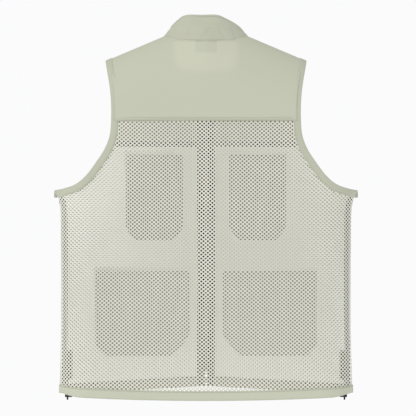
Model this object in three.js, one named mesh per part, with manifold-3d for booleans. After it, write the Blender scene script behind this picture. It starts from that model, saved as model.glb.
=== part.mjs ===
// Fishing vest, upright as on a hanger. Millimetres, +Z up, front faces -Y, wearer's left is +X.
// The origin lies midway between the two points where the collar meets the shoulder seams.
import * as THREE from "three";
import { mergeVertices } from "three/addons/utils/BufferGeometryUtils.js";
import Module from "manifold-3d";

// Overall form
const CHEST_HALF = 281; // half width at the foot of the armholes
const WAIST_HALF = 269; // half width of the body below them
const BACK_LENGTH = 677; // neck level down to the back hem
const HALF_DEPTH = 52; // half the depth of the filled body
const SIDE_ROUND = 60; // width over which the body rounds to its side seam
const SHOULDER_RISE = 110; // height over which a shoulder rounds to full depth
const GAP = 0.3; // clearance between pieces that are sewn together
const SEAM_GAP = 0.8; // clearance along the shoulder and side seams

// Neck and shoulders
const NECK_HALF = 76;
const SHOULDER_HALF = 187;
const SHOULDER_DROP = 47;
const BACK_NECK_DROP = 10;
const FRONT_NECK_DROP = 107;
const COLLAR_STAND = 48; // back neck seam up to the collar's top edge
const COLLAR_TOP_HALF = 34;
const COLLAR_CLOTH = 1.6;
const COLLAR_OPENING = 5; // half the gap between the collar's front ends
const COLLAR_STEPS = 36;
const COLLAR_SEAT = 1.4; // collar's foot above the neck seam

// Armholes
const ARM_FOOT = 287; // depth of the armhole below the neck
const ARM_WAIST = 175.5; // half width between the armholes
const ARM_WAIST_DROP = 150;
const BINDING_WIDTH = 14;
const BINDING_CLOTH = 2.6;
const ARM_STEPS = 48;

// Yokes, mesh panels and hem
const YOKE_CLOTH = 1.2;
const MESH_CLOTH = 1;
const BAND_CLOTH = 2.4;
const BACK_YOKE_DROP = 161;
const FRONT_YOKE_DROP = 202;
const BACK_BAND_HEIGHT = 18;
const FRONT_BAND_HEIGHT = 19;
const FRONT_HEM_LIFT = 24; // front hem above the back hem, at the centre
const SIDE_HEM_LIFT = 8; // both hems at the side seams
const SEAM_TAPE_WIDTH = 11;
const SEAM_TAPE_CLOTH = 0.8;
const SEAM_TAPE_HEAD = 28; // tape's upper end below the binding
const SEAM_TAPE_GAP = 6; // tape's lower end above the hem band
const SEAM_TAPE_IN = 3.2; // tape inside the panel's surface
const SEAM_TAPE_EDGE = 0.12; // share of the tape's turn left clear at the side seam

// Front closure
const ZIP_HALF = 15; // centre line to the front panels' edge
const TAPE_CLOTH = 0.9;
const TAPE_LAP = 8; // zip tape behind the front panels
const CHAIN_HALF = 2.4; // centre line to a row's rail
const CHAIN_RAIL = 1.6;
const TOOTH_REACH = 4;
const TOOTH_PITCH = 10;
const TOOTH_HEIGHT = 4.2;
const TOOTH_DEPTH = 2.4;
const ZIP_TOP_CLEAR = 3; // neck seam down to the top stops
const ZIP_FOOT_CLEAR = 5; // front hem up to the retainer box
const STOP_HEIGHT = 4;
const BOX_HEIGHT = 9;
const BOX_DEPTH = 4.4;
const PIN_HEIGHT = 9;
const SLIDER_HALF = 6.4;
const SLIDER_HEIGHT = 13;
const SLIDER_PLATE = 1.6;
const SLIDER_EAR = 1.3;
const PULL_LENGTH = 26;
const PULL_WIDTH = 6;
const PULL_THICKNESS = 1.4;
const PULL_PIN = 0.9; // radius of the pin that the pull swings on
const PULL_BORE_CLEAR = 0.4;
const PULL_WALL = 1.1;

// Pockets
const CHEST_POCKET = { inner: 42, outer: 151, top: 220, foot: 382, depth: 18, cutIn: 20, cutOut: 20 };
const LOWER_POCKET = { inner: 30, outer: 208, top: 438, foot: 598, depth: 26, cutIn: 34, cutOut: 19 };
const POCKET_CLOTH = 1.4;
const POCKET_SEAM = 1.2; // pocket lining, flat on the front panel
const FLAP_CLOTH = 1.8;
const FLAP_DROP = 48;
const FLAP_OVERHANG = 3; // flap beyond the pocket at each side
const FLAP_RISE = 7; // flap's seam above the pocket's mouth
const SNAP_RADIUS = 6.5;
const SNAP_HEIGHT = 1.6;
const STUD_RADIUS = 4.2;
const STUD_HEIGHT = 1.2;
const SNAP_RISE = 15; // snap above the flap's lower edge

// Inside of the neck
const LABEL_HALF = 18;
const LABEL_TOP = 13;
const LABEL_FOOT = 31;
const LABEL_CLOTH = 0.6;
const NECK_TAPE_CLOTH = 0.8;
const NECK_TAPE_HEIGHT = 8;
const NECK_TAPE_STEPS = 8; // of the collar's steps, about the centre back
const LOOP_SHARE = 0.1;
const LOOP_SAG = 16;
const LOOP_OUT = 7;
const LOOP_RADIUS = 1.2;

// Hem cords
const TAB_INNER = 250; // webbing tab, nearer edge to the centre line
const TAB_WIDTH = 14;
const TAB_TOP = 586;
const TAB_FOOT = 640;
const TAB_CLOTH = 1.6;
const TAB_IN = 1.6; // tab inside the panel's surface
const CORD_IN = 5; // cord's start inside the panel's surface
const LOCK_AT = 256; // cord lock, centre across
const LOCK_Y = -8;
const LOCK_TOP = 657;
const LOCK_WIDTH = 13;
const LOCK_DEPTH = 13;
const LOCK_HEIGHT = 15;
const CORD_RADIUS = 1.6;
const CORD_HALF = 2.4; // half the spacing of the cord's two strands
const CORD_CLEAR = 0.4;
const CORD_OFF = 2; // strands beyond the lock's centre, away from its plunger
const CORD_TAIL = 4; // cord's turn below the lock
const PLUNGER_RADIUS = 4.4;
const PLUNGER_REACH = 7;
const PLUNGER_SEAT = 4;
const PLUNGER_ENTRY = 0.8;

const SAGE = { color: 0xc5c8b4, roughness: 0.85, metalness: 0 };
const MESH = { color: 0xdcddd0, roughness: 0.9, metalness: 0 };
const TRIM = { color: 0xbfc3ac, roughness: 0.8, metalness: 0 };
const BLACK = { color: 0x1a1b19, roughness: 0.6, metalness: 0 };
const METAL = { color: 0x8e9189, roughness: 0.35, metalness: 1 };

const wasm = await Module();
wasm.setup();

const vest = new THREE.Group();
vest.name = "fishing_vest";

function add(name, geometry, finish) {
  const mesh = new THREE.Mesh(geometry, new THREE.MeshStandardMaterial(finish));
  mesh.name = name;
  vest.add(mesh);
}

const lerp = THREE.MathUtils.lerp;
const slope = SHOULDER_DROP / (SHOULDER_HALF - NECK_HALF);

function plane(points) {
  return new THREE.CatmullRomCurve3(points.map(([x, z]) => new THREE.Vector3(x, 0, z)), false, "centripetal");
}

// Half width of the body at a height
const sideCurve = plane([
  [CHEST_HALF, -ARM_FOOT],
  [WAIST_HALF + 3, -ARM_FOOT - 25],
  [WAIST_HALF, -ARM_FOOT - 110],
  [WAIST_HALF, -BACK_LENGTH + 130],
  [WAIST_HALF + 3, -BACK_LENGTH],
]);
const sideSamples = sideCurve.getPoints(60);

function halfWidth(z) {
  const next = sideSamples.findIndex((p) => p.z <= z);
  if (next <= 0) return next === 0 ? CHEST_HALF : sideSamples.at(-1).x;
  const a = sideSamples[next - 1];
  const b = sideSamples[next];
  return lerp(a.x, b.x, (a.z - z) / (a.z - b.z));
}

// Half depth of the body at a place on its outline plane
function halfDepth(x, z) {
  const below = Math.max(0, slope * (NECK_HALF - Math.abs(x)) - z);
  const rise = 1 - Math.min(1, below / SHOULDER_RISE);
  const wide = halfWidth(z);
  const flat = wide - SIDE_ROUND;
  const turn = THREE.MathUtils.clamp((Math.abs(x) - flat) / SIDE_ROUND, 0, 1);
  return HALF_DEPTH * Math.sqrt(1 - rise * rise) * Math.sqrt(1 - turn * turn);
}

// Closed slab over a surface: at(u, v) with u and v from 0 to 1, thickness centred on it
function slab(at, thickness, across, down, offset = 0) {
  const box = new THREE.BoxGeometry(1, 1, 1, across, 1, down);
  const place = box.attributes.position;
  const step = 0.004;
  const p = new THREE.Vector3();
  for (let i = 0; i < place.count; i += 1) {
    p.fromBufferAttribute(place, i);
    const u = p.x + 0.5;
    const v = p.z + 0.5;
    const du = at(Math.min(1, u + step), v).sub(at(Math.max(0, u - step), v));
    const dv = at(u, Math.min(1, v + step)).sub(at(u, Math.max(0, v - step)));
    const normal = dv.cross(du).normalize();
    const spot = at(u, v).addScaledVector(normal, p.y * thickness + offset);
    place.setXYZ(i, spot.x, spot.y, spot.z);
  }
  const index = box.index;
  const { start, count } = box.groups[3];
  for (let i = start; i < start + count; i += 6) {
    const c = index.getX(i + 4);
    index.setX(i + 2, c);
    index.setX(i + 3, index.getX(i));
  }
  return box;
}

// Closed ring between two loops: edge(u, s) with s 0 on the outer loop and 1 on the inner one
function ring(edge, thickness, steps) {
  const torus = new THREE.TorusGeometry(2, 1, 4, steps);
  const place = torus.attributes.position;
  const corner = [[0, 1], [1, 1], [1, -1], [0, -1], [0, 1]];
  for (let i = 0; i < place.count; i += 1) {
    const u = torus.attributes.uv.getX(i) % 1;
    const [s, side] = corner[Math.round(torus.attributes.uv.getY(i) * 4)];
    const step = 0.5 / steps;
    const du = edge((u + step) % 1, s).sub(edge((u + 1 - step) % 1, s));
    const dv = edge(u, 1).sub(edge(u, 0));
    const normal = du.cross(dv).normalize();
    const spot = edge(u, s).addScaledVector(normal, (side * thickness) / 2);
    place.setXYZ(i, spot.x, spot.y, spot.z);
  }
  return torus;
}

// Mirrors a point function for the wearer's right side, keeping the slab outside out
function mirrored(at, side) {
  if (side > 0) return at;
  return (u, v) => {
    const p = at(1 - u, v);
    p.x = -p.x;
    return p;
  };
}

function toSolid(geometry) {
  const bare = new THREE.BufferGeometry();
  bare.setAttribute("position", geometry.attributes.position.clone());
  if (geometry.index) bare.setIndex(geometry.index.clone());
  const joined = mergeVertices(bare, 1e-4);
  const faces = [];
  const index = joined.index.array;
  for (let i = 0; i < index.length; i += 3) {
    const [a, b, c] = index.slice(i, i + 3);
    if (a !== b && b !== c && c !== a) faces.push(a, b, c);
  }
  return new wasm.Manifold(new wasm.Mesh({
    numProp: 3,
    vertProperties: new Float32Array(joined.attributes.position.array),
    triVerts: new Uint32Array(faces),
  }));
}

function toGeometry(solid) {
  const mesh = solid.getMesh();
  const geometry = new THREE.BufferGeometry();
  geometry.setAttribute("position", new THREE.BufferAttribute(mesh.vertProperties, 3));
  geometry.setIndex(new THREE.BufferAttribute(mesh.triVerts, 1));
  geometry.computeVertexNormals();
  return geometry;
}

// Takes the tools away and keeps the largest piece, without the slivers left past a cut
function cut(geometry, ...tools) {
  const left = tools.reduce((solid, tool) => solid.subtract(toSolid(tool)), toSolid(geometry));
  const pieces = left.decompose().sort((a, b) => b.volume() - a.volume());
  return toGeometry(pieces[0]);
}

function fuse(...geometries) {
  return toGeometry(wasm.Manifold.union(geometries.map(toSolid)));
}

function block(size, centre) {
  return new THREE.BoxGeometry(...size).translate(...centre);
}

function disc(radius, height, centre) {
  return new THREE.CylinderGeometry(radius, radius, height, 24).translate(...centre);
}

// Outer edge of an armhole from the shoulder tip to the side seam
const armhole = plane([
  [SHOULDER_HALF, -SHOULDER_DROP],
  [ARM_WAIST + 2, -SHOULDER_DROP - 57],
  [ARM_WAIST, -ARM_WAIST_DROP],
  [ARM_WAIST + 3, -ARM_FOOT + 101],
  [ARM_WAIST + 12, -ARM_FOOT + 77],
  [ARM_WAIST + 28, -ARM_FOOT + 52],
  [ARM_WAIST + 48, -ARM_FOOT + 26],
  [CHEST_HALF - 39, -ARM_FOOT + 11],
  [CHEST_HALF - 16, -ARM_FOOT + 3],
  [CHEST_HALF, -ARM_FOOT],
]);

// Same edge moved into the body, along the shoulder seam at one end and the side seam at the other
function armInset(t, inset) {
  const p = armhole.getPoint(t);
  const run = armhole.getTangent(t);
  const normal = new THREE.Vector3(run.z, 0, -run.x);
  const seam = new THREE.Vector3(-1, 0, slope).normalize();
  const down = new THREE.Vector3(0, 0, -1);
  normal.lerp(seam, Math.max(0, 1 - t * 8)).lerp(down, Math.max(0, t * 8 - 7)).normalize();
  return p.addScaledVector(normal, inset);
}

// Set-back from the shoulder and side seams that leaves half their gap on each side
const seamSine = SEAM_GAP / 2 / HALF_DEPTH;
const seamShare = 1 - Math.sqrt(1 - seamSine * seamSine);
const shoulderSeam = SHOULDER_RISE * seamShare;
const sideSeam = SIDE_ROUND * seamShare;

function onBody(x, z, front) {
  return new THREE.Vector3(x, (front ? -1 : 1) * halfDepth(x, z), z);
}

function armLoop(u, inset) {
  const front = u > 0.5;
  const t = front ? 2 - 2 * u : 2 * u;
  const eased = 0.5 - 0.5 * Math.cos(Math.PI * t);
  const p = armInset(lerp(t, eased, 0.7), inset);
  return onBody(p.x, p.z, front);
}

// Ring along an armhole between two insets
function armRing(side, from, to, thickness) {
  return ring((u, s) => {
    const p = armLoop(side > 0 ? u : 1 - u, lerp(from, to, s));
    p.x *= side;
    return p;
  }, thickness, ARM_STEPS);
}

// Panels run under the binding's middle and are cut back to clear it
function clearOfBinding(geometry, ...sides) {
  const wide = BINDING_WIDTH + 2 * GAP;
  return cut(geometry, ...sides.map((side) => armRing(side, BINDING_WIDTH / 4, wide, BINDING_CLOTH * 4)));
}

function armAt(z) {
  let low = 0;
  let high = 1;
  for (let i = 0; i < 24; i += 1) {
    const mid = (low + high) / 2;
    if (armInset(mid, BINDING_WIDTH / 2).z > z) low = mid;
    else high = mid;
  }
  return armInset(low, BINDING_WIDTH / 2);
}

const armTop = armInset(0, BINDING_WIDTH / 2);
const armFoot = armInset(1, BINDING_WIDTH / 2);

function backNeck(x) {
  return -BACK_NECK_DROP * (1 - Math.min(1, Math.abs(x) / NECK_HALF) ** 2.5);
}

const frontNeckCurve = plane([
  [NECK_HALF, 0],
  [NECK_HALF - 2, -FRONT_NECK_DROP + 77],
  [NECK_HALF - 12, -FRONT_NECK_DROP + 45],
  [NECK_HALF - 34, -FRONT_NECK_DROP + 17],
  [NECK_HALF - 60, -FRONT_NECK_DROP + 2],
  [0, -FRONT_NECK_DROP],
]);

// Collar: a from -1 at the right front end, over 0 at the centre back, to 1 at the left one
const collarFoot = new THREE.CatmullRomCurve3([
  onBody(0, backNeck(0), false),
  onBody(NECK_HALF * 0.4, backNeck(NECK_HALF * 0.4), false),
  onBody(NECK_HALF * 0.75, backNeck(NECK_HALF * 0.75), false),
  onBody(NECK_HALF, 0, false),
  ...[0.14, 0.3, 0.45, 0.6, 0.75, 0.88, 1].map((t) => {
    const p = frontNeckCurve.getPoint(t);
    return onBody(Math.max(p.x, COLLAR_OPENING), p.z, true);
  }),
], false, "centripetal");

const standTop = COLLAR_STAND - BACK_NECK_DROP;
const collarTop = new THREE.CatmullRomCurve3([
  [0, 30, standTop],
  [COLLAR_TOP_HALF * 0.65, 29.5, standTop],
  [COLLAR_TOP_HALF + 9, 22.5, standTop - 7],
  [NECK_HALF - 13, 6, standTop - 25],
  [NECK_HALF - 7, -7, standTop - 41],
  [NECK_HALF - 7, -16, standTop - 58],
  [NECK_HALF - 14, -23, standTop - 74],
  [NECK_HALF - 30, -29, standTop - 88],
  [NECK_HALF - 49, -33, standTop - 98],
  [NECK_HALF - 63, -35, standTop - 102],
  [COLLAR_OPENING, -35, standTop - 103],
].map((p) => new THREE.Vector3(...p)), false, "centripetal");

function collarPoint(a, v) {
  const k = Math.abs(a);
  const low = collarFoot.getPoint(k);
  const high = collarTop.getPoint(k);
  const lean = high.clone().sub(low).setLength(COLLAR_SEAT);
  const p = high.lerp(low.add(lean), v);
  if (a < 0) p.x = -p.x;
  return p;
}

const plyOffset = (COLLAR_CLOTH + GAP) / 2;
const collarWhole = (u, v) => collarPoint(2 * u - 1, v);
add("collar_shell", slab(collarWhole, COLLAR_CLOTH, COLLAR_STEPS, 3, -plyOffset), SAGE);
add("collar_lining", slab(collarWhole, COLLAR_CLOTH, COLLAR_STEPS, 3, plyOffset), SAGE);

// Yokes are cut back to clear the collar's plies, at their foot and to both sides
function clearOfCollar(geometry) {
  const lower = (u, v) => collarPoint(2 * u - 1, v * (1 + (2 * GAP) / COLLAR_STAND));
  const tools = [slab(lower, 2 * COLLAR_CLOTH + 3 * GAP, COLLAR_STEPS, 3)];
  for (const offset of [-plyOffset, plyOffset]) {
    for (const shift of [[0, 0, -GAP], [GAP, 0, 0], [-GAP, 0, 0], [0, GAP, 0], [0, -GAP, 0]]) {
      tools.push(slab(collarWhole, COLLAR_CLOTH, COLLAR_STEPS, 3, offset).translate(...shift));
    }
  }
  return cut(geometry, ...tools);
}

// The yokes start below the seam at their top by half a gap
function topOfYoke(k, front) {
  const seamShare = 0.4;
  if (k > seamShare) {
    const f = (k - seamShare) / (1 - seamShare);
    return [lerp(NECK_HALF, armTop.x, f), lerp(0, armTop.z, f)];
  }
  const f = k / seamShare;
  if (!front) return [f * NECK_HALF, backNeck(f * NECK_HALF)];
  const p = frontNeckCurve.getPoint(1 - f);
  return [Math.max(p.x, f * NECK_HALF * 0.02), p.z];
}

// Point of a yoke: k from the centre out, v from the top down
function yokePoint(k, v, front, nearest, foot) {
  const [topX, topZ] = topOfYoke(k, front);
  const end = armAt(foot);
  const footX = lerp(nearest, end.x, k);
  const startX = Math.max(topX, nearest);
  const z = lerp(topZ - shoulderSeam, foot, v * v);
  const edge = armAt(Math.min(z, armTop.z));
  const chord = lerp(armTop.x, end.x, v * v);
  const x = lerp(startX, footX, v * v) + (edge.x - chord) * k ** 4;
  return onBody(x, z, front);
}

add("back_yoke", clearOfCollar(clearOfBinding(slab((u, v) => {
  const k = Math.abs(2 * u - 1);
  const p = yokePoint(k, v, false, 0, -BACK_YOKE_DROP);
  p.x *= Math.sign(2 * u - 1);
  p.y *= 1 + YOKE_CLOTH / 2 / HALF_DEPTH;
  return p;
}, YOKE_CLOTH, 20, 7), 1, -1)), SAGE);

for (const [name, side] of [["front_yoke_left", 1], ["front_yoke_right", -1]]) {
  const at = (u, v) => {
    const p = yokePoint(1 - u, v, true, ZIP_HALF + GAP, -FRONT_YOKE_DROP);
    p.y *= 1 + YOKE_CLOTH / 2 / HALF_DEPTH;
    return p;
  };
  const yoke = slab(mirrored(at, side), YOKE_CLOTH, 10, 7);
  add(name, clearOfCollar(clearOfBinding(yoke, side)), SAGE);
}

// Heights of the hem edges across the body
function backHem(x) {
  return -BACK_LENGTH + SIDE_HEM_LIFT * (Math.abs(x) / WAIST_HALF) ** 2;
}

function frontHem(x) {
  return -BACK_LENGTH + lerp(FRONT_HEM_LIFT, SIDE_HEM_LIFT, Math.abs(x) / WAIST_HALF);
}

// Column spread that rounds evenly to the side seam
function spread(k, z, from) {
  const wide = halfWidth(z);
  const flat = wide - SIDE_ROUND;
  const turnShare = 0.3;
  if (k <= 1 - turnShare) return lerp(from, flat, k / (1 - turnShare));
  const round = flat + SIDE_ROUND * Math.sin((((k - 1 + turnShare) / turnShare) * Math.PI) / 2);
  return Math.min(round, wide - sideSeam);
}

// Point of a mesh panel, its top following the yoke seam and then the armhole's lower curve
function meshPoint(k, v, front, from, yokeDrop, hem, band) {
  const end = armAt(-yokeDrop);
  const seamShare = 0.6;
  const start = front ? 0.9 : 0.88;
  let topX;
  let topZ;
  if (k <= seamShare) {
    topX = lerp(from, end.x, k / seamShare);
    topZ = -yokeDrop - GAP;
  } else {
    const f = (k - seamShare) / (1 - seamShare);
    const z = lerp(-yokeDrop - GAP, armFoot.z, Math.sin(f * Math.PI / 2) ** start);
    const p = f > 0.999 ? armFoot : armAt(z);
    topX = p.x;
    topZ = p.z;
  }
  const footX = spread(k, -BACK_LENGTH, from);
  const footZ = hem(footX) + band + GAP;
  const z = lerp(topZ, footZ, v);
  const lowX = spread(k, z, from);
  const blend = Math.min(1, v * 2.2);
  const x = lerp(topX, lowX, blend * blend * (3 - 2 * blend));
  const limit = halfWidth(z) - sideSeam;
  return onBody(Math.min(x, limit), z, front);
}

const meshOut = 1 + (GAP + MESH_CLOTH) / 2 / HALF_DEPTH;

function meshSide(front) {
  const drop = front ? FRONT_YOKE_DROP : BACK_YOKE_DROP;
  const hem = front ? frontHem : backHem;
  const band = front ? FRONT_BAND_HEIGHT : BACK_BAND_HEIGHT;
  const from = front ? ZIP_HALF + GAP : 0;
  return (k, v) => meshPoint(k, v, front, from, drop, hem, band);
}

const backMesh = meshSide(false);
add("back_mesh_panel", clearOfBinding(slab((u, v) => {
  const p = backMesh(Math.abs(2 * u - 1), v);
  p.x *= Math.sign(2 * u - 1);
  p.y *= meshOut;
  return p;
}, MESH_CLOTH, 30, 10), 1, -1), MESH);

const frontMesh = meshSide(true);
for (const [name, side] of [["front_mesh_left", 1], ["front_mesh_right", -1]]) {
  const at = (u, v) => {
    const p = frontMesh(1 - u, v);
    p.y *= meshOut;
    return p;
  };
  add(name, clearOfBinding(slab(mirrored(at, side), MESH_CLOTH, 15, 10), side), MESH);
}

// Hem bands, folded over the lower edge
function bandPoint(k, v, front, from, hem, height) {
  const z = hem(spread(k, -BACK_LENGTH, from)) + height * (1 - v);
  const p = onBody(spread(k, z, from), z, front);
  p.y *= 1 + (GAP + BAND_CLOTH) / 2 / HALF_DEPTH;
  return p;
}

add("back_hem_band", slab((u, v) => {
  const p = bandPoint(Math.abs(2 * u - 1), v, false, 0, backHem, BACK_BAND_HEIGHT);
  p.x *= Math.sign(2 * u - 1);
  return p;
}, BAND_CLOTH, 28, 1), SAGE);

for (const [name, side] of [["front_hem_band_left", 1], ["front_hem_band_right", -1]]) {
  const at = (u, v) => bandPoint(1 - u, v, true, ZIP_HALF + GAP, frontHem, FRONT_BAND_HEIGHT);
  add(name, slab(mirrored(at, side), BAND_CLOTH, 14, 1), SAGE);
}

for (const [name, side] of [["armhole_binding_left", 1], ["armhole_binding_right", -1]]) {
  add(name, armRing(side, 0, BINDING_WIDTH, BINDING_CLOTH), TRIM);
}

// Tape and hanger loop inside the collar, label inside the back yoke
const tapeTop = 1 - NECK_TAPE_HEIGHT / COLLAR_STAND;
const tapeOffset = plyOffset + COLLAR_CLOTH / 2 + GAP + NECK_TAPE_CLOTH / 2;
add("neck_tape", slab((u, v) => {
  return collarPoint(((2 * u - 1) * NECK_TAPE_STEPS) / COLLAR_STEPS, lerp(tapeTop, 1, v));
}, NECK_TAPE_CLOTH, NECK_TAPE_STEPS, 1, tapeOffset), TRIM);

const loopEnd = collarPoint(LOOP_SHARE, (1 + tapeTop) / 2);
loopEnd.y -= tapeOffset + NECK_TAPE_CLOTH / 2 + 2 * GAP + LOOP_RADIUS;
const loopPath = new THREE.CatmullRomCurve3([
  loopEnd.clone(),
  new THREE.Vector3(loopEnd.x * 0.86, loopEnd.y - LOOP_OUT / 2, loopEnd.z - LOOP_SAG / 2),
  new THREE.Vector3(0, loopEnd.y - LOOP_OUT, loopEnd.z - LOOP_SAG),
  new THREE.Vector3(-loopEnd.x * 0.86, loopEnd.y - LOOP_OUT / 2, loopEnd.z - LOOP_SAG / 2),
  new THREE.Vector3(-loopEnd.x, loopEnd.y, loopEnd.z),
]);

function cordAlong(path, radius, steps) {
  const round = new THREE.Shape().absarc(0, 0, radius, 0, Math.PI * 2);
  return new THREE.ExtrudeGeometry(round, { steps, curveSegments: 5, extrudePath: path });
}

add("hanger_loop", cordAlong(loopPath, LOOP_RADIUS, 20), TRIM);

add("neck_label", slab((u, v) => {
  const x = (2 * u - 1) * LABEL_HALF;
  return onBody(x, lerp(-LABEL_TOP, -LABEL_FOOT, v), false);
}, LABEL_CLOTH, 4, 3, YOKE_CLOTH / 2 + LABEL_CLOTH / 2), TRIM);

// Tapes over the side seams, on the inside of the back panel
const tapeHead = ARM_FOOT + BINDING_WIDTH + SEAM_TAPE_HEAD;
const tapeFoot = BACK_LENGTH - SIDE_HEM_LIFT - BACK_BAND_HEIGHT - SEAM_TAPE_GAP;
for (const [name, side] of [["side_seam_tape_left", 1], ["side_seam_tape_right", -1]]) {
  const at = (u, v) => {
    const z = lerp(-tapeHead, -tapeFoot, v);
    const wide = halfWidth(z);
    const reach = Math.acos((SIDE_ROUND - SEAM_TAPE_WIDTH) / SIDE_ROUND);
    const turn = Math.PI / 2 - reach * lerp(1, SEAM_TAPE_EDGE, u);
    return onBody(wide - SIDE_ROUND + SIDE_ROUND * Math.sin(turn), z, false);
  };
  add(name, slab(mirrored(at, side), SEAM_TAPE_CLOTH, 3, 12, SEAM_TAPE_IN), TRIM);
}

// Front closure, flat on the centre front
const zipY = -HALF_DEPTH + GAP / 2 + TAPE_CLOTH / 2;
const tapeInner = CHAIN_HALF + CHAIN_RAIL + GAP;
const zipTop = -FRONT_NECK_DROP - ZIP_TOP_CLEAR;
const zipHem = frontHem(0) + ZIP_FOOT_CLEAR;
const boxTop = zipHem + BOX_HEIGHT;
const chainTop = zipTop - STOP_HEIGHT - GAP;
const chainFoot = boxTop + GAP + PIN_HEIGHT + GAP;
const sliderTop = zipTop - STOP_HEIGHT - GAP;

function span(x0, x1, y0, y1, z0, z1) {
  return block([x1 - x0, y1 - y0, z1 - z0], [(x0 + x1) / 2, (y0 + y1) / 2, (z0 + z1) / 2]);
}

// Row of teeth on its rail, drawn for the left side
function teethRow(first) {
  const outer = CHAIN_HALF + CHAIN_RAIL;
  const shape = new THREE.Shape();
  shape.moveTo(outer, chainTop);
  shape.lineTo(CHAIN_HALF, chainTop);
  for (let z = chainTop - first; z - TOOTH_HEIGHT > chainFoot; z -= TOOTH_PITCH) {
    shape.lineTo(CHAIN_HALF, z);
    shape.lineTo(CHAIN_HALF - TOOTH_REACH, z);
    shape.lineTo(CHAIN_HALF - TOOTH_REACH, z - TOOTH_HEIGHT);
    shape.lineTo(CHAIN_HALF, z - TOOTH_HEIGHT);
  }
  shape.lineTo(CHAIN_HALF, chainFoot);
  shape.lineTo(outer, chainFoot);
  const row = new THREE.ExtrudeGeometry(shape, { depth: TOOTH_DEPTH, bevelEnabled: false });
  return row.rotateX(Math.PI / 2).translate(0, zipY + TOOTH_DEPTH / 2, 0);
}

for (const side of ["left", "right"]) {
  const turn = side === "left" ? 0 : Math.PI;
  const about = (geometry) => {
    return geometry.translate(0, -zipY, 0).rotateZ(turn).translate(0, zipY, 0);
  };
  const half = TAPE_CLOTH / 2;
  const depth = TOOTH_DEPTH / 2;
  const outer = CHAIN_HALF + CHAIN_RAIL;
  const tape = span(tapeInner, ZIP_HALF + TAPE_LAP, zipY - half, zipY + half, frontHem(0) + GAP, zipTop);
  add(`zip_tape_${side}`, about(tape), TRIM);
  const first = side === "left" ? GAP : GAP + TOOTH_PITCH / 2;
  add(`zip_teeth_${side}`, about(teethRow(first)), TRIM);
  const stop = span(CHAIN_HALF - GAP, outer, zipY - depth, zipY + depth, zipTop - STOP_HEIGHT, zipTop);
  add(`zip_top_stop_${side}`, about(stop), METAL);
}

const pinOuter = CHAIN_HALF + CHAIN_RAIL;
const pinHalf = TOOTH_DEPTH / 2;
add("zip_insertion_pin", span(
  CHAIN_HALF - GAP, pinOuter, zipY - pinHalf, zipY + pinHalf, boxTop + GAP, boxTop + GAP + PIN_HEIGHT,
), METAL);
add("zip_retainer_box", span(
  -pinOuter, pinOuter, zipY - BOX_DEPTH / 2, zipY + BOX_DEPTH / 2, zipHem, boxTop,
), METAL);

// Slider: a plate with side guides over the teeth, and two ears with the pull's pin
const plateBack = zipY - TOOTH_DEPTH / 2 - GAP;
const plateFront = plateBack - SLIDER_PLATE;
const guideFoot = zipY - TAPE_CLOTH / 2 - GAP;
const pinY = plateFront - GAP - PULL_PIN - PULL_BORE_CLEAR - PULL_WALL;
const pinZ = sliderTop - SLIDER_HEIGHT / 3;
const earTop = pinZ + PULL_PIN + PULL_WALL;
const earFoot = pinZ - PULL_PIN - PULL_WALL;
const earInner = PULL_WIDTH / 2 + GAP;
const earOuter = earInner + SLIDER_EAR;
const earY = pinY - PULL_PIN - PULL_WALL;
const sliderFoot = sliderTop - SLIDER_HEIGHT;

add("zip_slider", fuse(
  span(-SLIDER_HALF, SLIDER_HALF, plateFront, plateBack, sliderFoot, sliderTop),
  span(tapeInner + GAP, SLIDER_HALF, plateFront, guideFoot, sliderFoot, sliderTop),
  span(-SLIDER_HALF, -tapeInner - GAP, plateFront, guideFoot, sliderFoot, sliderTop),
  span(earInner, earOuter, earY, plateFront + GAP, earFoot, earTop),
  span(-earOuter, -earInner, earY, plateFront + GAP, earFoot, earTop),
  new THREE.CylinderGeometry(PULL_PIN, PULL_PIN, 2 * earOuter - GAP, 16)
    .rotateZ(Math.PI / 2).translate(0, pinY, pinZ),
), METAL);

function tubeAlongX(radius, bore, width) {
  const wall = new THREE.Shape().absarc(0, 0, radius, 0, Math.PI * 2);
  wall.holes.push(new THREE.Path().absarc(0, 0, bore, 0, Math.PI * 2, true));
  const tube = new THREE.ExtrudeGeometry(wall, { depth: width, bevelEnabled: false, curveSegments: 16 });
  return tube.translate(0, 0, -width / 2).rotateY(Math.PI / 2);
}

const eyeBore = PULL_PIN + PULL_BORE_CLEAR;
const eyeOuter = eyeBore + PULL_WALL;
const pullHalf = PULL_THICKNESS / 2;
add("zip_pull", fuse(
  tubeAlongX(eyeOuter, eyeBore, PULL_WIDTH).translate(0, pinY, pinZ),
  span(
    -PULL_WIDTH / 2, PULL_WIDTH / 2, pinY - pullHalf, pinY + pullHalf,
    pinZ - PULL_LENGTH, pinZ - eyeBore - PULL_WALL / 2,
  ),
), METAL);

// Pockets, flat on the front mesh panels
const panelFace = -HALF_DEPTH - GAP / 2 - MESH_CLOTH;

function plate(shape, depth, face) {
  const geometry = new THREE.ExtrudeGeometry(shape, { depth, bevelEnabled: false });
  return geometry.rotateX(Math.PI / 2).translate(0, face, 0);
}

function outline(p, side, inset) {
  const inner = p.inner + inset;
  const outer = p.outer - inset;
  const foot = -p.foot + inset;
  const slack = inset * Math.tan(Math.PI / 8);
  const points = [
    [inner, -p.top], [inner, foot + p.cutIn - slack], [inner + p.cutIn - slack, foot],
    [outer - p.cutOut + slack, foot], [outer, foot + p.cutOut - slack], [outer, -p.top],
  ];
  return points.map(([x, z]) => new THREE.Vector2(side * x, z));
}

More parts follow.
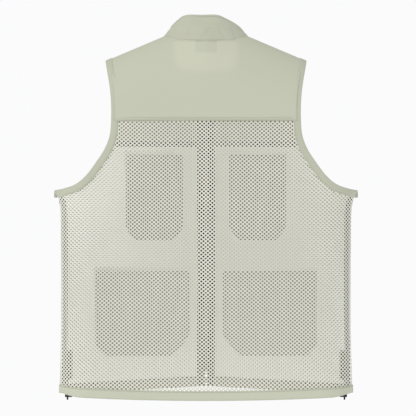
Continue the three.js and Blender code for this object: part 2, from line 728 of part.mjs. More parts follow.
function addPocket(label, p, side) {
  const whole = outline(p, side, 0);
  const liningFace = panelFace - GAP;
  add(`${label}_lining`, plate(new THREE.Shape(whole), POCKET_SEAM, liningFace), TRIM);
  const wall = new THREE.Shape([...whole, ...outline(p, side, POCKET_CLOTH).reverse()]);
  const wallFace = liningFace - POCKET_SEAM - GAP;
  add(`${label}_gusset`, plate(wall, p.depth, wallFace), SAGE);
  const frontFace = wallFace - p.depth - GAP;
  add(`${label}_front`, plate(new THREE.Shape(whole), POCKET_CLOTH, frontFace), SAGE);

  const root = liningFace;
  const over = -p.top + FLAP_RISE;
  const studFace = frontFace - POCKET_CLOTH - GAP;
  const flapBack = studFace - STUD_HEIGHT - GAP;
  const hang = over - FLAP_DROP;
  const profile = new THREE.Shape([
    [root, over], [flapBack - FLAP_CLOTH, over], [flapBack - FLAP_CLOTH, hang],
    [flapBack, hang], [flapBack, over - FLAP_CLOTH], [root, over - FLAP_CLOTH],
  ].map(([y, z]) => new THREE.Vector2(y, z)));
  const width = p.outer - p.inner + 2 * FLAP_OVERHANG;
  const flap = new THREE.ExtrudeGeometry(profile, { depth: width, bevelEnabled: false });
  flap.rotateX(Math.PI / 2).rotateZ(Math.PI / 2);
  const middle = (side * (p.inner + p.outer)) / 2;
  flap.translate(middle - width / 2, 0, 0);
  add(`${label}_flap`, flap, SAGE);

  const snapZ = hang + SNAP_RISE;
  const capY = flapBack - FLAP_CLOTH - GAP - SNAP_HEIGHT / 2;
  add(`${label}_snap_cap`, disc(SNAP_RADIUS, SNAP_HEIGHT, [middle, capY, snapZ]), METAL);
  add(`${label}_snap_stud`, disc(STUD_RADIUS, STUD_HEIGHT, [middle, studFace - STUD_HEIGHT / 2, snapZ]), METAL);
}

addPocket("chest_pocket_left", CHEST_POCKET, 1);
addPocket("chest_pocket_right", CHEST_POCKET, -1);
addPocket("lower_pocket_left", LOWER_POCKET, 1);
addPocket("lower_pocket_right", LOWER_POCKET, -1);

// Webbing tabs inside the side seams, each with an elastic cord and its lock
const strandX = LOCK_AT + CORD_OFF;
const lockFoot = -LOCK_TOP - LOCK_HEIGHT;
const tabDepth = halfDepth(strandX, -TAB_FOOT) - CORD_IN;
const cordStart = -TAB_FOOT - GAP - CORD_RADIUS;

function strand(sign) {
  const y = LOCK_Y + sign * CORD_HALF;
  const near = Math.max(0, sign) * CORD_HALF * 2 - CORD_HALF;
  return [
    new THREE.Vector3(strandX, -tabDepth + CORD_HALF + near, cordStart),
    new THREE.Vector3(strandX, (y - tabDepth + near) / 2, (cordStart - LOCK_TOP) / 2),
    new THREE.Vector3(strandX, y, -LOCK_TOP + CORD_RADIUS),
    new THREE.Vector3(strandX, y, -LOCK_TOP - LOCK_HEIGHT / 3),
    new THREE.Vector3(strandX, y, lockFoot),
  ];
}

for (const [end, side] of [["left", 1], ["right", -1]]) {
  const tabAt = (u, v) => {
    return onBody(TAB_INNER + u * TAB_WIDTH, lerp(-TAB_TOP, -TAB_FOOT, v), true);
  };
  const tabIn = -(TAB_CLOTH / 2 + TAB_IN);
  add(`webbing_tab_${end}`, slab(mirrored(tabAt, side), TAB_CLOTH, 4, 4, tabIn), BLACK);

  const path = new THREE.CatmullRomCurve3([
    ...strand(-1),
    new THREE.Vector3(strandX, LOCK_Y, lockFoot - CORD_TAIL),
    ...strand(1).reverse(),
  ].map((p) => new THREE.Vector3(side * p.x, p.y, p.z)));
  add(`hem_cord_${end}`, cordAlong(path, CORD_RADIUS, 24), BLACK);

  const lockX = side * LOCK_AT;
  const lockZ = -LOCK_TOP - LOCK_HEIGHT / 2;
  const slot = block([
    2 * (CORD_RADIUS + CORD_CLEAR), 2 * (CORD_HALF + CORD_RADIUS + CORD_CLEAR), 2 * LOCK_HEIGHT,
  ], [side * strandX, LOCK_Y, lockZ]);
  const mouth = lockX - (side * LOCK_WIDTH) / 2;
  const bore = new THREE.CylinderGeometry(
    PLUNGER_RADIUS + CORD_CLEAR, PLUNGER_RADIUS + CORD_CLEAR, 2 * PLUNGER_SEAT, 24,
  ).rotateZ(Math.PI / 2).translate(mouth, LOCK_Y, lockZ);
  const body = block([LOCK_WIDTH, LOCK_DEPTH, LOCK_HEIGHT], [lockX, LOCK_Y, lockZ]);
  add(`cord_lock_${end}`, cut(body, slot, bore), BLACK);

  const length = PLUNGER_REACH + PLUNGER_ENTRY;
  const plunger = new THREE.CylinderGeometry(PLUNGER_RADIUS, PLUNGER_RADIUS, length, 24)
    .rotateZ(Math.PI / 2)
    .translate(mouth + side * (PLUNGER_ENTRY - length / 2), LOCK_Y, lockZ);
  add(`cord_lock_plunger_${end}`, plunger, BLACK);
}

export default vest;
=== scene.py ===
import logging
import math
from dataclasses import dataclass, field
from enum import Enum
from typing import Callable, Sequence

import bpy
import numpy as np
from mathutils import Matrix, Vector


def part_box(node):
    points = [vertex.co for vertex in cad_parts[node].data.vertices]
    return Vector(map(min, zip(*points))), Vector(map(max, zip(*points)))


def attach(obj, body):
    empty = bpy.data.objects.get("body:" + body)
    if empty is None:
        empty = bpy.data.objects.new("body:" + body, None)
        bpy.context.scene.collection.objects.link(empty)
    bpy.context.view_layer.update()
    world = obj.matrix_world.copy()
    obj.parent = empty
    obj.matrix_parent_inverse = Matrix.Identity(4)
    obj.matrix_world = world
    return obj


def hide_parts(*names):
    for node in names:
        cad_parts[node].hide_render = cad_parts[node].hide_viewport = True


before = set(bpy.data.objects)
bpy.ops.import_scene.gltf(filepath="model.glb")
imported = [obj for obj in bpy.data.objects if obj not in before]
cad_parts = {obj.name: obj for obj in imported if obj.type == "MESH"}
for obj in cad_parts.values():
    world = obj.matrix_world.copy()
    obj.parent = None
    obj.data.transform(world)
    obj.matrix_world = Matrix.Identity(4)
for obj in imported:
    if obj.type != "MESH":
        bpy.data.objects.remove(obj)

LOG = logging.getLogger("vest")
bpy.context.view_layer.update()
MM = 0.001
Point = np.ndarray
VEST = "vest_body"


class Side(Enum):
    """The wearer's two sides, with the sign of X on each."""

    LEFT = 1
    RIGHT = -1

    @property
    def word(self) -> str:
        """The side's name as the frame's nodes write it."""
        return self.name.lower()


class Face(Enum):
    """Front or back of the garment, with the sign of Y on each."""

    BACK = 1
    FRONT = -1


class Hold(Enum):
    """How a piece of cloth is held."""

    STRETCHED = "stretched"
    FOLDED = "folded"


def linear(hex_value: str) -> tuple[float, float, float, float]:
    """Turns an sRGB hex colour into the shader's linear one.

    Args:
        hex_value: Six hex digits.

    Returns:
        Red, green, blue and alpha, linear.
    """
    parts = [int(hex_value[i:i + 2], 16) / 255 for i in (0, 2, 4)]
    turned = [c / 12.92 if c <= 0.04045 else ((c + 0.055) / 1.055) ** 2.4 for c in parts]
    return (*turned, 1.0)


def node(tree: bpy.types.NodeTree, kind: str, settings: dict | None = None,
         links: dict | None = None) -> bpy.types.Node:
    """Adds a shader node with its settings and links.

    Args:
        tree: The material's node tree.
        kind: The node's type name.
        settings: Attribute names, or input names, and their values.
        links: Input names and the output sockets that feed them.

    Returns:
        The new node.
    """
    made = tree.nodes.new(kind)
    for name, value in (settings or {}).items():
        if isinstance(name, str) and hasattr(made, name):
            setattr(made, name, value)
        else:
            made.inputs[name].default_value = value
    for name, source in (links or {}).items():
        tree.links.new(source, made.inputs[name])
    return made


@dataclass(frozen=True)
class Finish:
    """A material: its colour, gloss, and the pattern that its making leaves.

    Attributes:
        name: What the material is.
        colour: sRGB hex colour.
        shade: Darker sRGB hex colour of its threads' valleys or its grain.
        roughness: Mean roughness.
        pitch: Spacing of its pattern in millimetres.
        relief: Height of the pattern's bump in millimetres.
        metallic: 0 or 1.
        sheen: Weight of the cloth's sheen.
        woven: True for crossed threads, False for grain.
    """

    name: str
    colour: str
    shade: str
    roughness: float
    pitch: float
    relief: float
    metallic: float = 0.0
    sheen: float = 0.0
    woven: bool = True

    def build(self) -> bpy.types.Material:
        """Makes the material, or returns it where it is made already.

        Returns:
            The material with its nodes.
        """
        ready = bpy.data.materials.get(self.name)
        if ready:
            return ready
        material = bpy.data.materials.new(self.name)
        material.use_nodes = True
        tree = material.node_tree
        tree.nodes.clear()
        place = node(tree, "ShaderNodeTexCoord").outputs["Object"]
        pattern = self.weave(tree, place) if self.woven else self.grain(tree, place)
        bump = node(
            tree, "ShaderNodeBump", {"Strength": 0.6, "Distance": self.relief * MM},
            {"Height": pattern},
        )
        shader = node(
            tree, "ShaderNodeBsdfPrincipled",
            {"Roughness": self.roughness, "Metallic": self.metallic, "Sheen Weight": self.sheen,
             "Sheen Roughness": 0.5, "Specular IOR Level": 0.3 if self.woven else 0.5},
            {"Base Color": self.tint(tree, place, pattern), "Normal": bump.outputs["Normal"]},
        )
        output = node(tree, "ShaderNodeOutputMaterial")
        tree.links.new(shader.outputs["BSDF"], output.inputs["Surface"])
        return material

    def weave(self, tree: bpy.types.NodeTree, place: bpy.types.NodeSocket) -> bpy.types.NodeSocket:
        """Crossed threads as two wave bands.

        Args:
            tree: The material's node tree.
            place: Object coordinates.

        Returns:
            The pattern's height from 0 to 1.
        """
        scale = math.pi * 2 / (self.pitch * MM) / 20
        bands = []
        for way in ("X", "Z"):
            wave = node(
                tree, "ShaderNodeTexWave",
                {"wave_type": "BANDS", "bands_direction": way, "Scale": scale, "Distortion": 0.4},
                {"Vector": place},
            )
            bands.append(wave.outputs["Fac"])
        return node(tree, "ShaderNodeMath", {"operation": "MULTIPLY"}, {0: bands[0], 1: bands[1]}).outputs[0]

    def grain(self, tree: bpy.types.NodeTree, place: bpy.types.NodeSocket) -> bpy.types.NodeSocket:
        """Fine grain of a moulded or painted surface.

        Args:
            tree: The material's node tree.
            place: Object coordinates.

        Returns:
            The pattern's height from 0 to 1.
        """
        noise = node(
            tree, "ShaderNodeTexNoise", {"Scale": 1 / (self.pitch * MM), "Detail": 4.0}, {"Vector": place}
        )
        return noise.outputs["Fac"]

    def tint(self, tree: bpy.types.NodeTree, place: bpy.types.NodeSocket,
             pattern: bpy.types.NodeSocket) -> bpy.types.NodeSocket:
        """Colour of the surface, darker in the pattern's valleys and in soft clouds.

        Args:
            tree: The material's node tree.
            place: Object coordinates.
            pattern: Height of the pattern, from 0 to 1.

        Returns:
            The colour.
        """
        cloud = node(tree, "ShaderNodeTexNoise", {"Scale": 14.0, "Detail": 3.0}, {"Vector": place})
        mixed = node(tree, "ShaderNodeMath", {"operation": "MULTIPLY_ADD", 1: 0.35},
                     {0: cloud.outputs["Fac"], 2: pattern})
        ramp = node(tree, "ShaderNodeMapRange", {"From Min": 0.1, "From Max": 1.2},
                    {"Value": mixed.outputs[0]})
        blend = node(tree, "ShaderNodeMix",
                     {"data_type": "RGBA", 6: linear(self.shade), 7: linear(self.colour)},
                     {0: ramp.outputs["Result"]})
        return blend.outputs[2]


@dataclass(frozen=True)
class YokeCloth(Finish):
    """Thin back yoke cloth with painted light: a lighter patch where light through the front neck opening would
    show through it.

    Attributes:
        lit: sRGB hex colour of the painted light on the cloth over the opening.
        half_width: Half width of the opening, millimetres.
        top: Height of the opening's upper edge.
        foot: Height of its lower edge.
        label_half: Half width of the label that shades it.
        label_foot: Height of the label's lower edge.
    """

    lit: str = "CDCFBA"
    half_width: float = 59.0
    top: float = -13.0
    foot: float = -66.0
    label_half: float = 19.0
    label_foot: float = -31.0

    def tint(self, tree: bpy.types.NodeTree, place: bpy.types.NodeSocket,
             pattern: bpy.types.NodeSocket) -> bpy.types.NodeSocket:
        """Colour of the cloth, with painted light over the neck opening and painted shade where the label
        behind it blocks that light.

        Args:
            tree: The material's node tree.
            place: Object coordinates.
            pattern: Height of the weave, from 0 to 1.

        Returns:
            The colour.
        """
        cloth = super().tint(tree, place, pattern)
        axes = node(tree, "ShaderNodeSeparateXYZ", links={"Vector": place}).outputs
        across = node(tree, "ShaderNodeMath", {"operation": "ABSOLUTE"}, {0: axes["X"]})
        wide = node(tree, "ShaderNodeMath", {"operation": "DIVIDE", 1: self.half_width * MM},
                    {0: across.outputs[0]})
        deep = node(tree, "ShaderNodeMapRange",
                    {"clamp": False, "From Min": self.top * MM, "From Max": self.foot * MM},
                    {"Value": axes["Z"]})
        low = node(tree, "ShaderNodeMath", {"operation": "MAXIMUM", 1: 0.0}, {0: deep.outputs["Result"]})
        sides = node(tree, "ShaderNodeMath", {"operation": "POWER", 1: 4.5}, {0: wide.outputs[0]})
        base = node(tree, "ShaderNodeMath", {"operation": "POWER", 1: 4.0}, {0: low.outputs[0]})
        curve = node(tree, "ShaderNodeMath", {"operation": "ADD"}, {0: sides.outputs[0], 1: base.outputs[0]})
        opening = node(tree, "ShaderNodeMapRange", {"From Min": 1.55, "From Max": 0.55},
                       {"Value": curve.outputs[0]})
        below = node(tree, "ShaderNodeMapRange", {"From Min": (self.top + 3) * MM, "From Max": self.top * MM},
                     {"Value": axes["Z"]})
        beside = node(tree, "ShaderNodeMapRange",
                      {"From Min": self.label_half * MM, "From Max": (self.label_half + 2) * MM},
                      {"Value": across.outputs[0]})
        under = node(tree, "ShaderNodeMapRange",
                     {"From Min": self.label_foot * MM, "From Max": (self.label_foot - 2) * MM},
                     {"Value": axes["Z"]})
        clear = node(tree, "ShaderNodeMath", {"operation": "MAXIMUM"},
                     {0: beside.outputs["Result"], 1: under.outputs["Result"]})
        shown = node(tree, "ShaderNodeMath", {"operation": "MULTIPLY"},
                     {0: opening.outputs["Result"], 1: below.outputs["Result"]})
        seen = node(tree, "ShaderNodeMath", {"operation": "MULTIPLY"},
                    {0: shown.outputs[0], 1: clear.outputs[0]})
        weight = node(tree, "ShaderNodeMath", {"operation": "MULTIPLY", 1: 0.75}, {0: seen.outputs[0]})
        # Painted light: the lit colour over the neck opening, held back where the label shades it.
        blend = node(tree, "ShaderNodeMix", {"data_type": "RGBA", 7: linear(self.lit)},
                     {0: weight.outputs[0], 6: cloth})
        return blend.outputs[2]


# Plain woven nylon, dyed sage. It gives even, dull cloth with a faint cross of threads, which are drawn
# coarser than the real ones so that they show.
SAGE = Finish("woven_nylon_sage", "C7CAB5", "BEC1AC", 0.82, 1.6, 0.12, sheen=0.1)
# The same cloth in one thin ply, with painted light where the neck opening would let light through it, and
# painted shade over the label.
YOKE = YokeCloth("woven_nylon_yoke", "C9CCB7", "C2C5B0", 0.82, 1.6, 0.1, sheen=0.1)
# The same cloth in two crumpled plies, painted a little darker as painted shade of the crumples.
COLLAR = Finish("woven_nylon_collar", "C6C8B5", "BCBEAB", 0.82, 1.6, 0.14, sheen=0.1)
# The same cloth folded over an edge, painted paler as painted light where it faces the light.
PAINTED_LIGHT_HEM = Finish("folded_nylon_hem_painted_light", "D0D3BE", "C6C9B4", 0.8, 1.6, 0.12, sheen=0.1)
# Folded binding and tape, smoother and a little warmer than the cloth.
BINDING = Finish("folded_binding_sage", "C6C9B5", "BBBEAA", 0.78, 1.2, 0.12, sheen=0.1)
# Knitted polyester net of pale, dull yarn. Its knots are drawn coarser than the real ones.
NET = Finish("knitted_polyester_net", "ECECE1", "DEDED0", 0.88, 2.4, 0.25, sheen=0.15)
# The same net in front, darker as painted shade from the back that covers it, so that the two layers part.
SHADED_FRONT_NET = Finish("knitted_polyester_net_front", "DADBCE", "CDCEC0", 0.88, 2.4, 0.25, sheen=0.15)
# Brownish sheet inside the front yokes and hem, dark as painted shade of their shaded insides behind the net.
SHADE_FACING = Finish("woven_yoke_facing", "96917E", "88836F", 0.85, 1.4, 0.1)
# Grey-green sheet behind the lower pockets, one tone darker than the net: painted shade of the pockets'
# insides.
SHADE_PATCH = Finish("woven_backing_patch", "969888", "888A7A", 0.85, 1.4, 0.1)
# Pocket lining, darker still as painted shade of the pocket's inside, for the outline that shows through the
# net.
SHADE_LINING = Finish("painted_shade_pocket_lining", "898B7B", "7C7E6E", 0.85, 1.4, 0.1)
# Almost black zip tape, the dark strip down the front.
TAPE = Finish("woven_zip_tape", "23251F", "1C1E19", 0.85, 1.1, 0.15)
# Black ribbed webbing with a faint shine on its ribs.
WEBBING = Finish("ribbed_nylon_webbing", "1B1D18", "0E100C", 0.7, 1.5, 0.3)
# Black braid over elastic, soft and fuzzy. The braid is drawn coarser than real.
ELASTIC = Finish("braided_elastic_cord", "1A1B19", "0F100E", 0.75, 1.2, 0.25)
# Pale sewing thread, slightly smoother than the cloth.
THREAD = Finish("polyester_thread", "B9BCA5", "A9AC95", 0.6, 0.8, 0.05)
# The darker thread of the collar's real rows, darkened as painted shade of the shadow line at the collar's
# seam, for a line that reads from afar.
SHADE_SEAM_THREAD = Finish("polyester_seam_thread_painted_shade", "A3A690", "94978A", 0.6, 0.8, 0.05)
# Grey tape that binds the side seams, seen through the net.
SEAM_TAPE = Finish("woven_seam_tape", "717365", "646658", 0.85, 1.1, 0.15)
# Dark strip along the front yokes' feet: painted shade of the yokes' folded hems, a thin line through the net.
SHADE_YOKE_STRIP = Finish("painted_shade_yoke_strip", "5A5C50", "4D4F44", 0.85, 1.1, 0.15)
# Dark moulded nylon teeth with a soft gloss.
NYLON_TEETH = Finish("moulded_nylon_teeth", "3E4038", "34362F", 0.45, 1.0, 0.02, woven=False)
# Black acetal of the cord locks, satin and finely grained.
PLASTIC = Finish("moulded_acetal_black", "1C1D1B", "151614", 0.5, 0.9, 0.03, woven=False)
# Sage paint on die-cast zinc: the slider, the pull, the stops and the snaps, smooth with a tight highlight.
PAINTED = Finish("painted_zinc_sage", "8F9282", "85887A", 0.38, 0.8, 0.01, woven=False)


@dataclass(frozen=True)
class Curve:
    """Smooth curve through points, evenly shared between them.

    Attributes:
        points: The points.
        mirrored: True where the curve goes on past its start as its mirror image in X.
    """

    points: tuple[tuple[float, ...], ...]
    mirrored: bool = False

    def at(self, t: float) -> Point:
        """Point of the curve.

        Args:
            t: From 0 at its start to 1 at its end.

        Returns:
            The point.
        """
        p = [np.array(q, float) for q in self.points]
        last = len(p) - 1
        where = min(max(t, 0.0), 1.0) * last
        i = min(int(where), last - 1)
        w = where - i
        p1, p2 = p[i], p[i + 1]
        before = p[1] * np.array([-1.0, 1.0, 1.0]) if self.mirrored else 2 * p[0] - p[1]
        p0 = p[i - 1] if i > 0 else before
        p3 = p[i + 2] if i + 2 <= last else 2 * p[-1] - p[-2]
        d0, d1, d2 = (max(1e-4, float(np.dot(b - a, b - a)) ** 0.25) for a, b in ((p0, p1), (p1, p2), (p2, p3)))
        t1 = ((p1 - p0) / d0 - (p2 - p0) / (d0 + d1) + (p2 - p1) / d1) * d1
        t2 = ((p2 - p1) / d1 - (p3 - p1) / (d1 + d2) + (p3 - p2) / d2) * d1
        return p1 + t1 * w + (-3 * p1 + 3 * p2 - 2 * t1 - t2) * w * w + (2 * p1 - 2 * p2 + t1 + t2) * w ** 3


@dataclass(frozen=True)
class Form:
    """The filled body's surface, as the frame has it; every length is in millimetres.

    Attributes:
        chest: Half width under the arms.
        waist: Half width lower down.
        length: Depth of the hem below the shoulder seams.
        depth: Half depth from front to back.
        side_round: Radius that rounds the sides.
        shoulder_rise: Height over which the body thins to the shoulder seam.
        neck: Half width of the neck hole.
        shoulder: X of the shoulder tip.
        drop: How far the shoulder tip lies below the neck.
        arm_foot: Depth of the armhole's foot.
        arm_waist: Smallest half width between the armholes.
        binding: Width of the armhole binding.
    """

    chest: float = 281.0
    waist: float = 269.0
    length: float = 677.0
    depth: float = 52.0
    side_round: float = 60.0
    shoulder_rise: float = 110.0
    neck: float = 76.0
    shoulder: float = 187.0
    drop: float = 47.0
    arm_foot: float = 287.0
    arm_waist: float = 175.5
    binding: float = 14.0

    @property
    def side(self) -> Curve:
        """Half width against height, down the side."""
        return Curve(((self.chest, -self.arm_foot), (self.waist + 3, -self.arm_foot - 25),
                      (self.waist, -self.arm_foot - 110), (self.waist, -self.length + 130),
                      (self.waist + 3, -self.length)))

    @property
    def armhole(self) -> Curve:
        """Armhole's outer edge, from the shoulder tip to the side seam."""
        a, f = self.arm_waist, self.arm_foot
        return Curve(((self.shoulder, -self.drop), (a + 2, -self.drop - 57), (a, -150.0), (a + 3, -f + 101),
                      (a + 12, -f + 77), (a + 28, -f + 52), (a + 48, -f + 26), (self.chest - 39, -f + 11),
                      (self.chest - 16, -f + 3), (self.chest, -f)))

    @property
    def front_neck(self) -> Curve:
        """Front neck seam, from the shoulder seam to the centre."""
        n, d = self.neck, 107.0
        return Curve(((n, 0.0), (n - 2, -d + 77), (n - 12, -d + 45), (n - 34, -d + 17), (n - 60, -d + 2),
                      (0.0, -d)))

    def slope(self) -> float:
        """Fall of the shoulder seam for each millimetre outwards."""
        return self.drop / (self.shoulder - self.neck)


FORM = Form()
_SIDE_Z = np.array([FORM.side.at(i / 80)[1] for i in range(81)])[::-1]
_SIDE_X = np.array([FORM.side.at(i / 80)[0] for i in range(81)])[::-1]
_ARM = np.array([FORM.armhole.at(i / 120) for i in range(121)])


def half_width(z: float) -> float:
    """Half width of the body at a height."""
    return float(np.interp(z, _SIDE_Z, _SIDE_X))


def half_depth(x: float, z: float) -> float:
    """Half depth of the body at a place on its outline plane.

    Args:
        x: Across, millimetres.
        z: Height, millimetres.

    Returns:
        The depth of the surface there.
    """
    below = max(0.0, FORM.slope() * (FORM.neck - abs(x)) - z)
    rise = 1 - min(1.0, below / FORM.shoulder_rise)
    turn = min(1.0, max(0.0, (abs(x) - half_width(z) + FORM.side_round) / FORM.side_round))
    return FORM.depth * math.sqrt(1 - rise * rise) * math.sqrt(1 - turn * turn)


SIDE_ARC = 70.0


def side_turn(past: float) -> float:
    """Angle round the side for a distance past the flat part, almost even as seen from behind.

    Args:
        past: Distance past the flat part, millimetres.

    Returns:
        The angle, radians.
    """
    share = min(1.0, past / SIDE_ARC)
    lapped = max(0.0, past / SIDE_ARC - 1.0)
    return 0.3 * share * math.pi / 2 + 0.7 * math.asin(share) + 1.5 * lapped


def arm_inset(t: float, inset: float) -> Point:
    """Armhole edge moved into the body.

    Args:
        t: From 0 at the shoulder tip to 1 at the side seam.
        inset: How far in, millimetres.

    Returns:
        X and Z.
    """
    edge = FORM.armhole.at(t)
    run = FORM.armhole.at(min(1.0, t + 1e-3)) - FORM.armhole.at(max(0.0, t - 1e-3))
    run /= np.linalg.norm(run)
    normal = np.array([run[1], -run[0]])
    seam = np.array([-1.0, FORM.slope()])
    seam /= np.linalg.norm(seam)
    k = max(0.0, 1 - t * 8)
    normal = normal * (1 - k) + seam * k
    k = max(0.0, t * 8 - 7)
    normal = normal * (1 - k) + np.array([0.0, -1.0]) * k
    return edge + normal / np.linalg.norm(normal) * inset


_ARM_MIDDLE = np.array([arm_inset(i / 400, FORM.binding / 2) for i in range(401)])


def arm_at(z: float) -> Point:
    """Point of the armhole binding's middle line at a height."""
    return np.array([np.interp(z, _ARM_MIDDLE[::-1, 1], _ARM_MIDDLE[::-1, 0]), z])


def edge_distance(x: float, z: float) -> float:
    """Distance to the armhole's edge, positive inside the cloth.

    Args:
        x: Across, millimetres.
        z: Height, millimetres.

    Returns:
        The distance, millimetres.
    """
    d = _ARM - np.array([abs(x), z])
    i = int(np.argmin((d * d).sum(1)))
    near = math.sqrt(float((d[i] ** 2).sum()))
    outside = z > -FORM.arm_foot and abs(x) > float(np.interp(z, _ARM[::-1, 1], _ARM[::-1, 0]))
    return -near if outside else near


def on_body(x: float, z: float, face: Face, out: float = 0.0) -> Point:
    """Point of the body's surface.

    Args:
        x: Across, millimetres.
        z: Height, millimetres.
        face: Front or back.
        out: How far outside the surface, along Y at its full depth.

    Returns:
        The point, millimetres.
    """
    y = half_depth(x, z) * (1 + out / FORM.depth)
    return np.array([x, face.value * y, z])


def from_edge(s: float, z: float) -> float:
    """How strongly folds run towards the side seams' ends, from 0 at the centre to 1."""
    return min(1.0, max(0.0, (abs(s) - 60.0) / 120.0)) * min(1.0, max(0.15, abs(z + 450.0) / 160.0))


def back_neck(x: float) -> float:
    """Height of the back neck seam."""
    return -10.0 * (1 - min(1.0, abs(x) / FORM.neck) ** 2.5)


def back_hem(x: float) -> float:
    """Height of the back hem's lower edge."""
    return -FORM.length + 8.0 * (abs(x) / FORM.waist) ** 2


def front_hem(x: float) -> float:
    """Height of the front hem's lower edge."""
    share = abs(x) / FORM.waist
    return -FORM.length + 24.0 * (1 - share) + 8.0 * share


def clear_selection() -> None:
    """Leaves edit mode and deselects everything."""
    if bpy.context.mode != "OBJECT":
        bpy.ops.object.mode_set(mode="OBJECT")
    bpy.ops.object.select_all(action="DESELECT")


def make_object(name: str, points: Sequence[Sequence[float]], faces: Sequence[Sequence[int]],
                smooth: bool = True) -> bpy.types.Object:
    """Makes a mesh object from millimetre points.

    Args:
        name: Its name.
        points: Vertices, millimetres.
        faces: Vertex indices.
        smooth: True to shade smooth.

    Returns:
        The object.
    """
    mesh = bpy.data.meshes.new(name)
    mesh.from_pydata([tuple(float(c) * MM for c in p) for p in points], [], [list(map(int, f)) for f in faces])
    mesh.validate()
    mesh.polygons.foreach_set("use_smooth", [smooth] * len(mesh.polygons))
    mesh.update()
    made = bpy.data.objects.new(name, mesh)
    bpy.context.scene.collection.objects.link(made)
    return made


def dress(piece: bpy.types.Object, finish: Finish, stands_for: str = "",
          body: str = VEST) -> bpy.types.Object:
    """Gives a piece its finish and its body, and hides the node that it stands for.

    Args:
        piece: The piece.
        finish: Its finish.
        stands_for: The node that it replaces, or nothing where it is added.
        body: The body that it rides on.

    Returns:
        The piece.
    """
    piece.data.materials.clear()
    piece.data.materials.append(finish.build())
    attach(piece, body)
    if stands_for:
        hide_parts(stands_for)
    return piece


@dataclass
class Cloth:
    """A flexible sheet with thickness, from a grid of points on its middle surface.

    Attributes:
        name: The piece's name.
        at: Function of u and v, each from 0 to 1, that gives a point in millimetres.
        across: Steps along u.
        down: Steps along v.
        thick: Thickness, millimetres.
        offset: Shift along the surface's normal, millimetres.
    """

    name: str
    at: Callable[[float, float], Point]
    across: int
    down: int
    thick: float
    offset: float = 0.0
    grid: np.ndarray = field(init=False)

    def build(self) -> bpy.types.Object:
        """Builds the closed sheet.

        Returns:
            The object.
        """
        n, m = self.across + 1, self.down + 1
        grid = np.array([[self.at(i / self.across, j / self.down) for i in range(n)] for j in range(m)])
        du = np.gradient(grid, axis=1)
        dv = np.gradient(grid, axis=0)
        normal = np.cross(dv, du)
        normal /= np.maximum(np.linalg.norm(normal, axis=2, keepdims=True), 1e-9)
        self.grid = grid + normal * self.offset
        upper = (self.grid + normal * self.thick / 2).reshape(-1, 3)
        lower = (self.grid - normal * self.thick / 2).reshape(-1, 3)
        faces: list[tuple[int, ...]] = []
        count = n * m
        for j in range(self.down):
            for i in range(self.across):
                a, b, c, d = j * n + i, j * n + i + 1, (j + 1) * n + i + 1, (j + 1) * n + i
                faces.append((a, b, c, d)[::-1])
                faces.append((a + count, b + count, c + count, d + count))
        rim = [i for i in range(n)] + [j * n + n - 1 for j in range(1, m)]
        rim += [(m - 1) * n + i for i in range(n - 2, -1, -1)] + [j * n for j in range(m - 2, 0, -1)]
        for k, a in enumerate(rim):
            b = rim[(k + 1) % len(rim)]
            faces.append((a, b, b + count, a + count))
        made = make_object(self.name, np.vstack([upper, lower]), faces)
        volume = sum_volume(made.data)
        if volume < 0:
            made.data.flip_normals()
        return made

    def sew(self, finish: Finish, stands_for: str = "",
            body: str = VEST) -> None:
        """Args:
            finish: Its finish.
            stands_for: The node that it replaces, or nothing where it is added.
            body: The body that it rides on.
        """
        piece = dress(self.build(), finish, stands_for, body)


def sum_volume(mesh: bpy.types.Mesh) -> float:
    """Signed volume of a closed mesh, negative when it is inside out.

    Args:
        mesh: The mesh.

    Returns:
        The volume, cubic metres.
    """
    mesh.calc_loop_triangles()
    co = np.empty(len(mesh.vertices) * 3)
    mesh.vertices.foreach_get("co", co)
    co = co.reshape(-1, 3)
    tri = np.empty(len(mesh.loop_triangles) * 3, dtype=int)
    mesh.loop_triangles.foreach_get("vertices", tri)
    a, b, c = (co[tri.reshape(-1, 3)[:, k]] for k in range(3))
    return float((np.cross(a, b) * c).sum() / 6)


